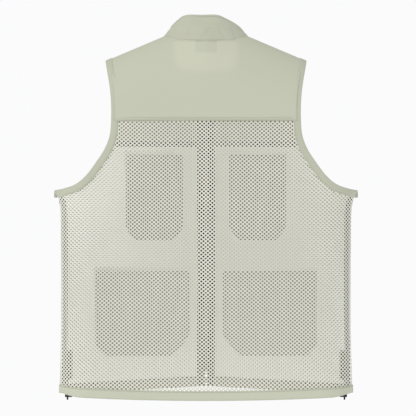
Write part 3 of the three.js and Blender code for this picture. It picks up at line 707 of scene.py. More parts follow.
@dataclass
class Net:
    """Knitted net with staggered holes, one open cell for each hole.

    Attributes:
        pitch: Spacing of the holes in a row, millimetres.
        row: Spacing of the staggered rows, millimetres.
        hole: Radius of a hole, millimetres.
        fold: Depth of its soft folds, millimetres.
        turn: Angle of the lattice from upright, radians.
        shift: Sideways shift of the lattice, millimetres.
    """

    pitch: float = 8.0
    row: float = 3.5
    hole: float = 1.8
    fold: float = 0.0
    turn: float = 0.0
    shift: float = 0.0

    def build(self, name: str, face: Face, near: float, far: float, top: float, foot: Callable[[float], float],
              out: float) -> bpy.types.Object:
        """Builds a net panel over a strip of the body.

        Args:
            name: The piece's name.
            face: Front or back.
            near: Least signed distance across, millimetres along the cloth.
            far: Greatest signed distance across.
            top: Height of its upper edge.
            foot: Function of X that gives the height of its lower edge.
            out: How far outside the body's surface it lies.

        Returns:
            The object.
        """
        points: list[Point] = []
        faces: list[tuple[int, ...]] = []
        shared: dict[tuple[int, int], int] = {}
        reach = int(FORM.length * 0.62 / self.row)
        for i in range(-reach, reach + 1):
            for j in range(-reach, reach + 1):
                if (i + j) % 2:
                    continue
                s, z = self.grid(i, j)
                if not near <= s <= far or z > top or z < -FORM.length or abs(s) > self.side_end(z):
                    continue
                x = self.across(s, z)
                if z < foot(x) or (z > -FORM.arm_foot - 20 and edge_distance(x, z) < 5.0):
                    continue
                corner = []
                for di, dj in ((1, 0), (0, 1), (-1, 0), (0, -1)):
                    key = (i + di, j + dj)
                    if key not in shared:
                        shared[key] = len(points)
                        points.append(self.loose(*self.grid(*key), face, out + (0.25 if di else -0.25)))
                    corner.append(shared[key])
                first = len(points)
                for k in range(8):
                    a = math.pi / 4 * k + self.turn
                    wide = self.hole * (1.06 if k % 2 else 1.0)
                    points.append(self.loose(s + wide * math.cos(a), z + 0.94 * wide * math.sin(a), face, out))
                for k in range(4):
                    c0, c1 = corner[k], corner[(k + 1) % 4]
                    a, b, c = first + 2 * k, first + (2 * k + 1), first + (2 * k + 2) % 8
                    faces += [(c0, b, a), (c0, c1, b), (c1, c, b)]
        if face is Face.FRONT:
            faces = [f[::-1] for f in faces]
        return make_object(name, points, [f[::-1] for f in faces])

    def side_end(self, z: float) -> float:
        """Furthest middle of a cell: past the side seam, where two panels lap, but short of a binding."""
        lapped = 2.0 if z < -FORM.arm_foot - 16.0 else -3.0
        return half_width(z) - FORM.side_round + SIDE_ARC + lapped

    def grid(self, i: int, j: int) -> tuple[float, float]:
        """Place of a lattice point, turned about the middle of the panel.

        Args:
            i: Number of half pitches across.
            j: Number of rows up.

        Returns:
            Distance across the cloth and height.
        """
        s, z = i * self.pitch / 2 + self.shift, j * self.row
        cos, sin = math.cos(self.turn), math.sin(self.turn)
        return s * cos - z * sin, s * sin + z * cos - 350.0

    def loose(self, s: float, z: float, face: Face, out: float) -> Point:
        """Point of the net with its knit pulled about and its soft folds.

        Args:
            s: Signed distance from the centre, along the cloth.
            z: Height.
            face: Front or back.
            out: How far outside the body's surface.

        Returns:
            The point, millimetres.
        """
        from_foot = min(1.0, max(0.0, (z + FORM.length - 16.0) / 40.0))
        from_top = min(1.0, max(0.0, (-175.0 - z) / 40.0))
        from_side = min(1.0, max(0.0, (FORM.waist + 4.0 - abs(s)) / 40.0))
        calm = from_foot * from_side
        if z > -FORM.arm_foot - 40:
            calm *= min(1.0, max(0.0, (edge_distance(s, z) - 12.0) / 35.0))
        pulled_s = s + 1.3 * calm * wrinkle(s, z, 47.0, 0.3)
        p = self.place(pulled_s, z + 1.5 * calm * wrinkle(s, z, 61.0, 1.9), face, out)
        lean = math.copysign(1.0, s) * 0.55
        wave = math.sin((s * lean + z * 0.45) / 10.0 + 0.9 * wrinkle(s, z, 70.0, 0.7))
        broad = math.sin((s * 0.8 - z * lean) / 24.0 + 1.3)
        depth = 0.55 * wave * (0.4 + 0.6 * from_edge(s, z)) + 0.45 * broad
        p[1] += face.value * self.fold * calm * from_top * depth
        return p

    def across(self, s: float, z: float) -> float:
        """Turns a distance along the cloth into X.

        Args:
            s: Signed distance from the centre, along the cloth.
            z: Height.

        Returns:
            The X, millimetres.
        """
        flat = half_width(z) - FORM.side_round
        if abs(s) <= flat:
            return s
        return math.copysign(flat + FORM.side_round * math.sin(side_turn(abs(s) - flat)), s)

    def place(self, s: float, z: float, face: Face, out: float) -> Point:
        """Point of the net for a distance along the cloth and a height.

        Args:
            s: Signed distance from the centre, along the cloth.
            z: Height.
            face: Front or back.
            out: How far outside the body's surface.

        Returns:
            The point, millimetres.
        """
        flat = half_width(z) - FORM.side_round
        if abs(s) <= flat:
            return on_body(s, z, face, out)
        turn = side_turn(abs(s) - flat)
        below = max(0.0, FORM.slope() * (FORM.neck - abs(s)) - z)
        rise = 1 - min(1.0, below / FORM.shoulder_rise)
        y = (FORM.depth + out) * math.sqrt(1 - rise * rise) * math.cos(turn)
        return np.array([math.copysign(flat + (FORM.side_round + out) * math.sin(turn), s), face.value * y, z])


@dataclass
class Stitches:
    """Rows of lock stitches, each a small closed bead of thread.

    Attributes:
        pitch: Distance from stitch to stitch, millimetres.
        length: Length of a stitch.
        radius: Thickness of the thread.
        points: Corners of the beads so far.
        faces: Faces of the beads so far.
    """

    pitch: float = 3.4
    length: float = 2.7
    radius: float = 0.38
    points: list[Point] = field(default_factory=list)
    faces: list[tuple[int, ...]] = field(default_factory=list)

    def run(self, path: Sequence[Point]) -> None:
        """Lays a row along a path.

        Args:
            path: Points that the row follows, millimetres.
        """
        line = np.array(path)
        seg = np.linalg.norm(np.diff(line, axis=0), axis=1)
        reach = np.concatenate([[0], np.cumsum(seg)])
        for k in range(int(reach[-1] // self.pitch)):
            s0 = k * self.pitch + 0.3
            ends = [np.array([np.interp(s, reach, line[:, c]) for c in range(3)])
                    for s in (s0, s0 + self.length)]
            way = ends[1] - ends[0]
            way /= max(1e-9, float(np.linalg.norm(way)))
            up = np.cross(way, [0.31, 0.9, 0.27])
            up /= max(1e-9, float(np.linalg.norm(up)))
            side = np.cross(way, up)
            mid = (ends[0] + ends[1]) / 2
            turns = (0, math.pi / 2, math.pi, math.pi * 1.5)
            ring = [mid + self.radius * (up * math.cos(a) + side * math.sin(a)) for a in turns]
            first = len(self.points)
            self.points += [ends[0], ends[1], *ring]
            for q in range(4):
                a, b = first + 2 + q, first + 2 + (q + 1) % 4
                self.faces += [(first, b, a), (first + 1, a, b)]

    def build(self, name: str, finish: Finish, slot: str = "sage_cloth", body: str = VEST) -> bpy.types.Object:
        """Builds all the rows as one piece.

        Args:
            name: The piece's name.
            finish: The thread's finish.
            slot: A material slot; not used.
            body: The body that they ride on.

        Returns:
            The object.
        """
        made = make_object(name, self.points, self.faces)
        if sum_volume(made.data) < 0:
            made.data.flip_normals()
        return dress(made, finish, body=body)


def wrinkle(x: float, z: float, scale: float, seed: float) -> float:
    """Smooth, fixed unevenness of cloth.

    Args:
        x: Across, millimetres.
        z: Height, millimetres.
        scale: Size of the unevenness, millimetres.
        seed: Any number; it shifts the pattern.

    Returns:
        A value from -1 to 1.
    """
    a = math.sin(x / scale + seed) * math.cos(z / scale * 0.8 + 1.7 * seed)
    b = math.sin((x + z) / scale * 0.61 + 2.3 * seed) * 0.6
    return (a + b) / 1.6


@dataclass
class Yokes:
    """Back yoke and the two front yokes.

    Attributes:
        back_foot: Height of the back yoke's seam.
        front_foot: Height of the front yokes' seams.
        cloth: Thickness of the cloth.
        fold_in: How far the cloth stops short of its foot seam.
        ridge: How far below the shoulder seam a yoke starts.
        near: X of a front yoke's edge beside the zip.
        proud: How far outside the body's surface the yokes lie.
    """

    back_foot: float = -161.0
    front_foot: float = -202.0
    cloth: float = 0.9
    fold_in: float = 2.0
    ridge: float = 0.0002
    near: float = 15.3
    proud: float = 1.6

    def edge(self, k: float, face: Face) -> tuple[float, float]:
        """Upper edge of a yoke: neck seam, then shoulder seam.

        Args:
            k: From 0 at the centre to 1 at the armhole.
            face: Front or back.

        Returns:
            X and Z.
        """
        top = _ARM_MIDDLE[0]
        share = 0.4
        if k > share:
            f = (k - share) / (1 - share)
            return FORM.neck + (top[0] - FORM.neck) * f, top[1] * f
        f = k / share
        if face is Face.BACK:
            return f * FORM.neck, back_neck(f * FORM.neck)
        p = FORM.front_neck.at(1 - f)
        return float(p[0]), float(p[1])

    def point(self, k: float, v: float, face: Face, near: float, foot: float, out: float) -> Point:
        """Point of a yoke.

        Args:
            k: From the centre out, 0 to 1.
            v: From the top down, 0 to 1.
            face: Front or back.
            near: X of its inner edge.
            foot: Height of its lower edge.
            out: How far outside the body's surface.

        Returns:
            The point, millimetres.
        """
        top_x, top_z = self.edge(k, face)
        end = arm_at(max(foot, -270.0))
        top = _ARM_MIDDLE[0]
        z = (top_z - self.ridge) * (1 - v * v) + foot * v * v
        edge_x = arm_at(min(z, top[1]))[0]
        chord = top[0] * (1 - v * v) + end[0] * v * v
        x = max(top_x, near) * (1 - v * v) + (near + (end[0] - near) * k) * v * v + (edge_x - chord) * k ** 4
        return on_body(x, z, face, out)

    def build(self) -> None:
        """Builds the three yokes."""
        def back(u: float, v: float) -> Point:
            """Point of the back yoke."""
            k = 2 * u - 1
            p = self.point(abs(k), v, Face.BACK, 0.0, self.back_foot + self.fold_in, self.proud)
            p[0] = math.copysign(p[0], k)
            p[1] += 0.35 * wrinkle(p[0], p[2], 31.0, 0.4) * min(1.0, v * 2)
            return p

        cloth = Cloth("cloth_back_yoke", back, 96, 30, self.cloth)
        cloth.sew(YOKE, "back_yoke")
        for side in Side:
            def front(u: float, v: float, side: Side = side) -> Point:
                """Point of a front yoke."""
                k = 1 - u if side is Side.LEFT else u
                p = self.point(k, v, Face.FRONT, self.near, self.front_foot + self.fold_in, self.proud)
                p[0] *= side.value
                return p

            cloth = Cloth(f"cloth_front_yoke_{side.word}", front, 48, 30, self.cloth)
            cloth.sew(SAGE, f"front_yoke_{side.word}")

            def painted_shade_facing(u: float, v: float, side: Side = side) -> Point:
                """Point of the sheet of painted shade inside a front yoke."""
                k = 1 - u if side is Side.LEFT else u
                p = self.point(k * 0.985, 0.02 + 0.98 * v, Face.FRONT, 16.0, self.front_foot + 1, 0.1)
                p[0] *= side.value
                return p

            # Dark sheet inside the yoke: painted shade of the yoke's inside, seen through the net.
            cloth = Cloth(f"facing_front_yoke_{side.word}", painted_shade_facing, 48, 30, 0.6)
            cloth.sew(SHADE_FACING)

            def tape(u: float, v: float, side: Side = side) -> Point:
                """Point of the dark strip of painted shade along a front yoke's foot."""
                z = self.front_foot + 7.0 - 10.5 * v
                return on_body(side.value * (17.0 + (arm_at(z)[0] - 19.0) * u), z, Face.FRONT, -0.9)

            # Dark strip at the yoke's foot: painted shade of its folded hem.
            cloth = Cloth(f"tape_front_yoke_{side.word}", tape, 40, 3, 0.5)
            cloth.sew(SHADE_YOKE_STRIP)
        LOG.info("yokes built")


@dataclass
class NetPanels:
    """Back and front net panels.

    Attributes:
        back: Net of the back panel.
        front: Net of the front panels, set half a hole across from the back's so that the two nets cross.
    """

    back: Net = field(default_factory=lambda: Net(fold=2.3))
    front: Net = field(default_factory=lambda: Net(pitch=8.1, row=3.543, hole=1.76, turn=0.006, shift=4.05))

    def build(self) -> None:
        """Builds the three panels."""
        reach = FORM.waist + SIDE_ARC
        back = self.back.build("net_back_panel", Face.BACK, -reach, reach, -150.0,
                               lambda x: back_hem(x) + 12.0, 0.65)
        self.finish(back, NET, "back_mesh_panel")
        for side in Side:
            near, far = sorted((side.value * 14.0, side.value * reach))
            front = self.front.build(
                f"net_front_{side.word}", Face.FRONT, near, far, -192.0, lambda x: front_hem(x) + 12.0, 0.65
            )
            # Front panels in the darker copy of the net: painted shade.
            self.finish(front, SHADED_FRONT_NET, f"front_mesh_{side.word}")
        LOG.info("net panels built")

    def finish(self, piece: bpy.types.Object, finish: Finish, stands_for: str) -> None:
        """Dresses a net panel.

        The declared size is the replaced node's box with 60 mm for the sides, which is an estimate.

        Args:
            piece: The panel.
            finish: Its finish.
            stands_for: The node it replaces.
        """
        dress(piece, finish, stands_for)


@dataclass
class HemBands:
    """Folded bands along the lower edges.

    Attributes:
        back_height: Height of the back band.
        front_height: Height of a front band.
        near: X of a front band's edge beside the zip.
        cloth: Thickness of the folded cloth.
    """

    back_height: float = 18.0
    front_height: float = 19.0
    near: float = 15.3
    cloth: float = 2.0

    def point(self, s: float, v: float, face: Face) -> Point:
        """Point of a band.

        Args:
            s: Distance from the centre along the cloth.
            v: From the top down, 0 to 1.
            face: Front or back.

        Returns:
            The point, millimetres.
        """
        net = Net()
        x = net.across(s, -FORM.length)
        hem, height = (back_hem, self.back_height) if face is Face.BACK else (front_hem, self.front_height)
        drawn = min(1.0, max(0.0, (abs(x) - 228.0) / 36.0)) ** 2
        z = hem(x) + height * (1 - v) + (4.5 * v + 1.0) * drawn
        p = net.place(s, z, face, 1.5 + drawn * (1.2 * math.sin(s / 3.1) - 0.4))
        p[1] += face.value * 0.35 * math.sin(s / 9.0) * (1 - v)
        return p

    def build(self) -> None:
        """Builds the back band and the two front ones."""
        reach = half_width(-FORM.length) - FORM.side_round + SIDE_ARC + 0.2
        cloth = Cloth("cloth_back_hem", lambda u, v: self.point((2 * u - 1) * reach, v, Face.BACK), 140, 4,
                      self.cloth)
        # The back band in the paler copy of the cloth: painted light.
        cloth.sew(PAINTED_LIGHT_HEM, "back_hem_band")
        for side in Side:
            def front(u: float, v: float, side: Side = side) -> Point:
                """Point of a front band."""
                k = 1 - u if side is Side.LEFT else u
                p = self.point(self.near + k * (reach - self.near), v, Face.FRONT)
                p[0] *= side.value
                return p

            cloth = Cloth(f"cloth_front_hem_{side.word}", front, 70, 4, self.cloth)
            cloth.sew(SAGE, f"front_hem_band_{side.word}")
            # Dark sheet behind the front band: painted shade of the band's inside, seen through the net.
            behind = np.array([1, 0.955, 1])
            cloth = Cloth(f"facing_front_hem_{side.word}", lambda u, v: front(u, v) * behind,
                          70, 3, 0.5)
            cloth.sew(SHADE_FACING)
        LOG.info("hem bands built")


@dataclass
class Bindings:
    """Armhole bindings and the side seams' bound allowances.

    Attributes:
        width: Width of a binding as it shows.
        cut: Width of its cut; not used. The piece is a solid ring, not a folded strip.
        cloth: Thickness of the folded binding.
    """

    width: float = 14.0
    cut: float = 19.0
    cloth: float = 2.2

    def loop(self, u: float, inset: float) -> Point:
        """Point of an armhole's loop, back first, then front.

        Args:
            u: Round the loop, 0 to 1.
            inset: Distance in from the edge.

        Returns:
            The point on the wearer's left, millimetres.
        """
        face = Face.FRONT if u > 0.5 else Face.BACK
        t = 2 - 2 * u if u > 0.5 else 2 * u
        eased = 0.5 - 0.5 * math.cos(math.pi * t)
        x, z = arm_inset(t + (eased - t) * 0.7, inset)
        return on_body(float(x), float(z), face)

    def build(self) -> None:
        """Builds both bindings and both seam tapes."""
        for side in Side:
            self.binding(side)
            self.tape(side)
        LOG.info("bindings built")

    def binding(self, side: Side) -> None:
        """Builds one armhole's binding as a closed ring with a rounded section.

        Args:
            side: The wearer's side.
        """
        steps, ring = 220, 10
        points: list[Point] = []
        for i in range(steps):
            u = i / steps
            outer = self.loop(u, 0.0)
            inner = self.loop(u, self.width)
            ahead = self.loop((u + 0.004) % 1, self.width / 2) - self.loop((u - 0.004) % 1, self.width / 2)
            way = (inner - outer) / np.linalg.norm(inner - outer)
            normal = np.cross(ahead, way)
            size = float(np.linalg.norm(normal))
            normal = normal / size if size > 1e-3 else np.array([-1.0, 0.0, 0.0])
            for j in range(ring):
                a = 2 * math.pi * j / ring
                c, s = math.cos(a), math.sin(a)
                across = math.copysign(abs(c) ** 0.35, c)
                thick = math.copysign(abs(s) ** 0.6, s)
                p = (outer + inner) / 2 - way * across * np.linalg.norm(inner - outer) / 2
                p = p + normal * thick * (self.cloth / 2 + 0.45)
                points.append(p * np.array([side.value, 1, 1]))
        faces = []
        for i in range(steps):
            for j in range(ring):
                a, b = i * ring + j, i * ring + (j + 1) % ring
                c, d = ((i + 1) % steps) * ring + (j + 1) % ring, ((i + 1) % steps) * ring + j
                faces.append((a, b, c, d))
        made = make_object(f"binding_armhole_{side.word}", points, faces)
        if sum_volume(made.data) < 0:
            made.data.flip_normals()
        dress(made, BINDING, f"armhole_binding_{side.word}")
        line = [self.loop(i / 100 % 1, self.width / 2) for i in range(101)]

    def tape(self, side: Side) -> None:
        """Builds the bound allowance over one side seam.

        Args:
            side: The wearer's side.
        """
        net = Net()

        def at(u: float, v: float) -> Point:
            """Point of the tape, across the seam and down it."""
            z = -297.0 - v * (FORM.length - 8.0 - 16.0 - 297.0)
            whole = half_width(z) - FORM.side_round + SIDE_ARC
            p = net.place(whole - 17.0 + u * 14.0, z, Face.BACK, -1.4)
            p[0] *= side.value
            return p

        cloth = Cloth(f"tape_side_seam_{side.word}", at, 10, 60, 0.8)
        cloth.sew(SEAM_TAPE, f"side_seam_tape_{side.word}")


@dataclass
class StandCollar:
    """Stand collar of two plies, with the tape and label inside it.

    Attributes:
        rise: Height of its top at the centre back.
        opening: Half of the gap between its front ends.
        seat: How far above the seam line its foot ends; below it when negative.
        slump: How far its top leans to the wearer's left at the back.
        cloth: Thickness of a ply.
        seam_line: Points of the seam line, from the centre back to the front end.
        upper_line: Points of the upper edge, likewise.
    """

    rise: float = 38.0
    opening: float = 5.0
    seat: float = -2.2
    slump: float = 7.6
    cloth: float = 1.3
    seam_line: np.ndarray = field(init=False)
    upper_line: np.ndarray = field(init=False)

    def __post_init__(self) -> None:
        """Samples the seam line and the upper edge once."""
        foot, top = self.foot, self.top
        shares = np.linspace(0, 1, 401)
        self.seam_line = np.array([foot.at(k) for k in shares])
        self.upper_line = np.array([top.at(k) for k in shares])

    @property
    def foot(self) -> Curve:
        """The collar's seam line, from the centre back to the front end."""
        n = FORM.neck
        back = [on_body(n * k, back_neck(n * k), Face.BACK) for k in (0, 0.4, 0.75, 1)]
        front = []
        for t in (0.14, 0.3, 0.45, 0.6, 0.75, 0.88, 1):
            p = FORM.front_neck.at(t)
            front.append(on_body(max(float(p[0]), self.opening), float(p[1]), Face.FRONT))
        return Curve(tuple(tuple(p) for p in back + front), True)

    @property
    def top(self) -> Curve:
        """The collar's upper edge."""
        r, n = self.rise, FORM.neck
        return Curve(((0, 30, r), (30, 28.6, r - 0.4), (43, 22.5, r - 7), (n - 13, 7, r - 22.5),
                      (n - 7, -7, r - 41), (n - 7, -16, r - 58), (n - 14, -23, r - 74), (n - 30, -29, r - 88),
                      (n - 49, -33, r - 98), (n - 63, -35, r - 102), (self.opening, -35, r - 103)), True)

    def point(self, a: float, v: float) -> Point:
        """Point of the collar.

        Args:
            a: From -1 at the right front end to 1 at the left one.
            v: From 0 at the top to 1 at the seam.

        Returns:
            The point, millimetres.
        """
        where = abs(a) * (len(self.seam_line) - 1)
        steps = np.arange(len(self.seam_line))
        low = np.array([np.interp(where, steps, self.seam_line[:, c]) for c in range(3)])
        high = np.array([np.interp(where, steps, self.upper_line[:, c]) for c in range(3)])
        lean = high - low
        low = low + lean / np.linalg.norm(lean) * self.seat
        p = high * (1 - v) + low * v
        if a < 0:
            p = p * np.array([-1, 1, 1])
        back = max(0.0, 1 - abs(a) / 0.32)
        p[0] += self.slump * (1 - v) ** 1.2 * min(1.0, back * 2)
        return p

    def crease(self, a: float, v: float) -> float:
        """Depth of the soft folds that a standing collar takes.

        Args:
            a: From -1 at the right front end to 1 at the left one.
            v: From 0 at the top to 1 at the seam.

        Returns:
            The depth, millimetres; negative is a hollow.
        """
        fold = 1.5 * math.exp(-((v - 0.62 - 0.16 * math.sin(a * 9)) / 0.08) ** 2)
        fold += 1.2 * math.exp(-((v - 0.28 + 0.2 * a) / 0.05) ** 2)
        creases = ((-0.022, 0.14, 0.012), (-0.1, -0.05, 0.009), (0.09, 0.12, 0.014), (-0.2, 0.02, 0.009))
        for at, lean, width in creases:
            near = (a - at - lean * (v - 0.6)) / width
            fold += 1.7 * math.exp(-near * near) * min(1.0, max(0.0, (v - 0.3) * 3))
        fine = 0.4 * wrinkle(a * 300, v * 48, 6.5, 1.1)
        return (fine - fold) * math.sin(math.pi * min(1.0, max(0.0, v))) ** 0.6

    def build(self) -> None:
        """Builds the collar's plies and what is sewn inside it."""

        def outer(u: float, v: float) -> Point:
            """Point of the outer ply."""
            p = self.point(2 * u - 1, v)
            radial = p * np.array([1, 1, 0])
            radial = radial / max(1e-6, float(np.linalg.norm(radial)))
            return p + radial * self.crease(2 * u - 1, v)

        # Collar plies in the darker copy of the cloth: painted shade of the crumples.
        cloth = Cloth("cloth_collar_shell", outer, 200, 24, self.cloth, -0.95)
        cloth.sew(COLLAR, "collar_shell")
        cloth = Cloth("cloth_collar_lining", outer, 200, 24, self.cloth, 0.95)
        cloth.sew(COLLAR, "collar_lining")
        cloth = Cloth("tape_neck", lambda u, v: self.point((2 * u - 1) * 0.22, 0.84 + 0.15 * v),
                      40, 2, 0.8, 2.6)
        cloth.sew(BINDING, "neck_tape")
        cloth = Cloth("label_neck", lambda u, v: on_body((2 * u - 1) * 18.0, -13.0 - 18.0 * v, Face.BACK),
                      12, 8, 0.6, 0.9)
        cloth.sew(BINDING, "neck_label")
        LOG.info("collar built")


def tube(name: str, path: Sequence[Point], radius: float, sides: int = 10) -> bpy.types.Object:
    """Round closed tube along a path.

    Args:
        name: The piece's name.
        path: Points of its centre line, millimetres.
        radius: Its radius.
        sides: Sides of its section.

    Returns:
        The object.
    """
    line = np.array(path)
    points: list[Point] = []
    way = np.gradient(line, axis=0)
    way /= np.linalg.norm(way, axis=1, keepdims=True)
    up = np.cross(way[0], [0.2, 0.3, 0.93])
    up /= np.linalg.norm(up)
    for p, w in zip(line, way):
        up = up - w * np.dot(up, w)
        up /= np.linalg.norm(up)
        side = np.cross(w, up)
        for j in range(sides):
            a = 2 * math.pi * j / sides
            points.append(p + radius * (up * math.cos(a) + side * math.sin(a)))
    faces: list[tuple[int, ...]] = []
    for i in range(len(line) - 1):
        for j in range(sides):
            k = (j + 1) % sides
            faces.append((i * sides + j, i * sides + k, (i + 1) * sides + k, (i + 1) * sides + j))
    faces.append(tuple(range(sides))[::-1])
    faces.append(tuple((len(line) - 1) * sides + j for j in range(sides)))
    made = make_object(name, points, faces)
    if sum_volume(made.data) < 0:
        made.data.flip_normals()
    return made


def carry(name: str, finish: Finish) -> None:
    """Gives a node that keeps its shape a finish of its own.

    Args:
        name: The node.
        finish: Its finish.
    """
    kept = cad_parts[name]
    kept.data.materials.clear()
    kept.data.materials.append(finish.build())
    LOG.info("%s kept in %s", name, finish.name)


def hard_block(size: Sequence[float], centre: Sequence[float], edge: float,
               segments: int = 2) -> bpy.types.Object:
    """Block with rounded edges.

    Args:
        size: Its size, millimetres.
        centre: Its centre, millimetres.
        edge: Radius of its edges.
        segments: Steps round each edge.

    Returns:
        The object, selected and active.
    """
    clear_selection()
    bpy.ops.mesh.primitive_cube_add(size=1, location=[c * MM for c in centre], scale=[c * MM for c in size])
    bpy.ops.object.transform_apply(location=True, rotation=True, scale=True)
    bpy.ops.object.mode_set(mode="EDIT")
    bpy.ops.mesh.select_all(action="SELECT")
    bpy.ops.mesh.bevel(offset=edge * MM, segments=segments, affect="EDGES")
    bpy.ops.object.mode_set(mode="OBJECT")
    return bpy.context.active_object


def copies(pattern: bpy.types.Object, name: str, shifts: Sequence[Point]) -> bpy.types.Object:
    """One mesh with a copy of a pattern at each shift; the pattern goes.

    Args:
        pattern: The piece to repeat.
        name: The result's name.
        shifts: Millimetre shifts.

    Returns:
        The object.
    """
    mesh = pattern.data
    co = np.empty(len(mesh.vertices) * 3)
    mesh.vertices.foreach_get("co", co)
    base = co.reshape(-1, 3) / MM
    faces = [tuple(p.vertices) for p in mesh.polygons]
    points = np.vstack([base + np.array(s) for s in shifts])
    every = [tuple(v + k * len(base) for v in f) for k in range(len(shifts)) for f in faces]
    bpy.data.objects.remove(pattern)
    return make_object(name, points, every, smooth=False)


@dataclass
class ZipClosure:
    """Front closure: tapes, moulded teeth, stops, box, slider and pull.

    Attributes:
        inner: X of a tape's edge at the teeth.
        outer: X of its sewn edge.
        top: Height of the tapes' upper ends.
        foot: Height of their lower ends.
        face: Y of their middle at the teeth.
        pitch: Spacing of the teeth in a row.
        tooth: Height of a tooth.
        chain_top: Height of the first tooth.
        chain_foot: Height of the last one.
    """

    inner: float = 1.7
    outer: float = 16.5
    top: float = -110.0
    foot: float = -652.7
    face: float = -51.4
    pitch: float = 2.6
    tooth: float = 1.22
    chain_top: float = -114.3
    chain_foot: float = -629.4

    def build(self) -> None:
        """Builds the tapes and the teeth, and finishes the metal pieces."""
        for side in Side:
            self.tape(side)
            self.teeth(side)
            carry(f"zip_top_stop_{side.word}", PAINTED)
        for name in ("zip_insertion_pin", "zip_retainer_box", "zip_slider", "zip_pull"):
            carry(name, PAINTED)
        LOG.info("zip built")

    def tape(self, side: Side) -> None:
        """Builds one tape, with a slight ripple between its stitches.

        Args:
            side: The wearer's side.
        """
        def at(u: float, v: float) -> Point:
            """Point of the tape."""
            x = self.inner + u * (self.outer - self.inner)
            z = self.top + v * (self.foot - self.top)
            return np.array([side.value * x, self.face + (0.15 * math.sin(z / 7.0) - 0.75) * u, z])

        cloth = Cloth(f"tape_zip_{side.word}", at, 6, 120, 0.9)
        cloth.sew(TAPE, f"zip_tape_{side.word}")

    def teeth(self, side: Side) -> None:
        """Builds one row of teeth, half a pitch off the other.

        Args:
            side: The wearer's side.
        """
        count = int((self.chain_top - self.chain_foot) / self.pitch) - 1
        first = self.chain_top - 0.8 - (0 if side is Side.LEFT else self.pitch / 2)
        tooth = hard_block((5.4, 2.3, self.tooth), (side.value * 1.15, self.face, first), 0.28, 1)
        row = copies(tooth, f"teeth_{side.word}", [(0, 0, -k * self.pitch) for k in range(count)])
        dress(row, NYLON_TEETH, f"zip_teeth_{side.word}")


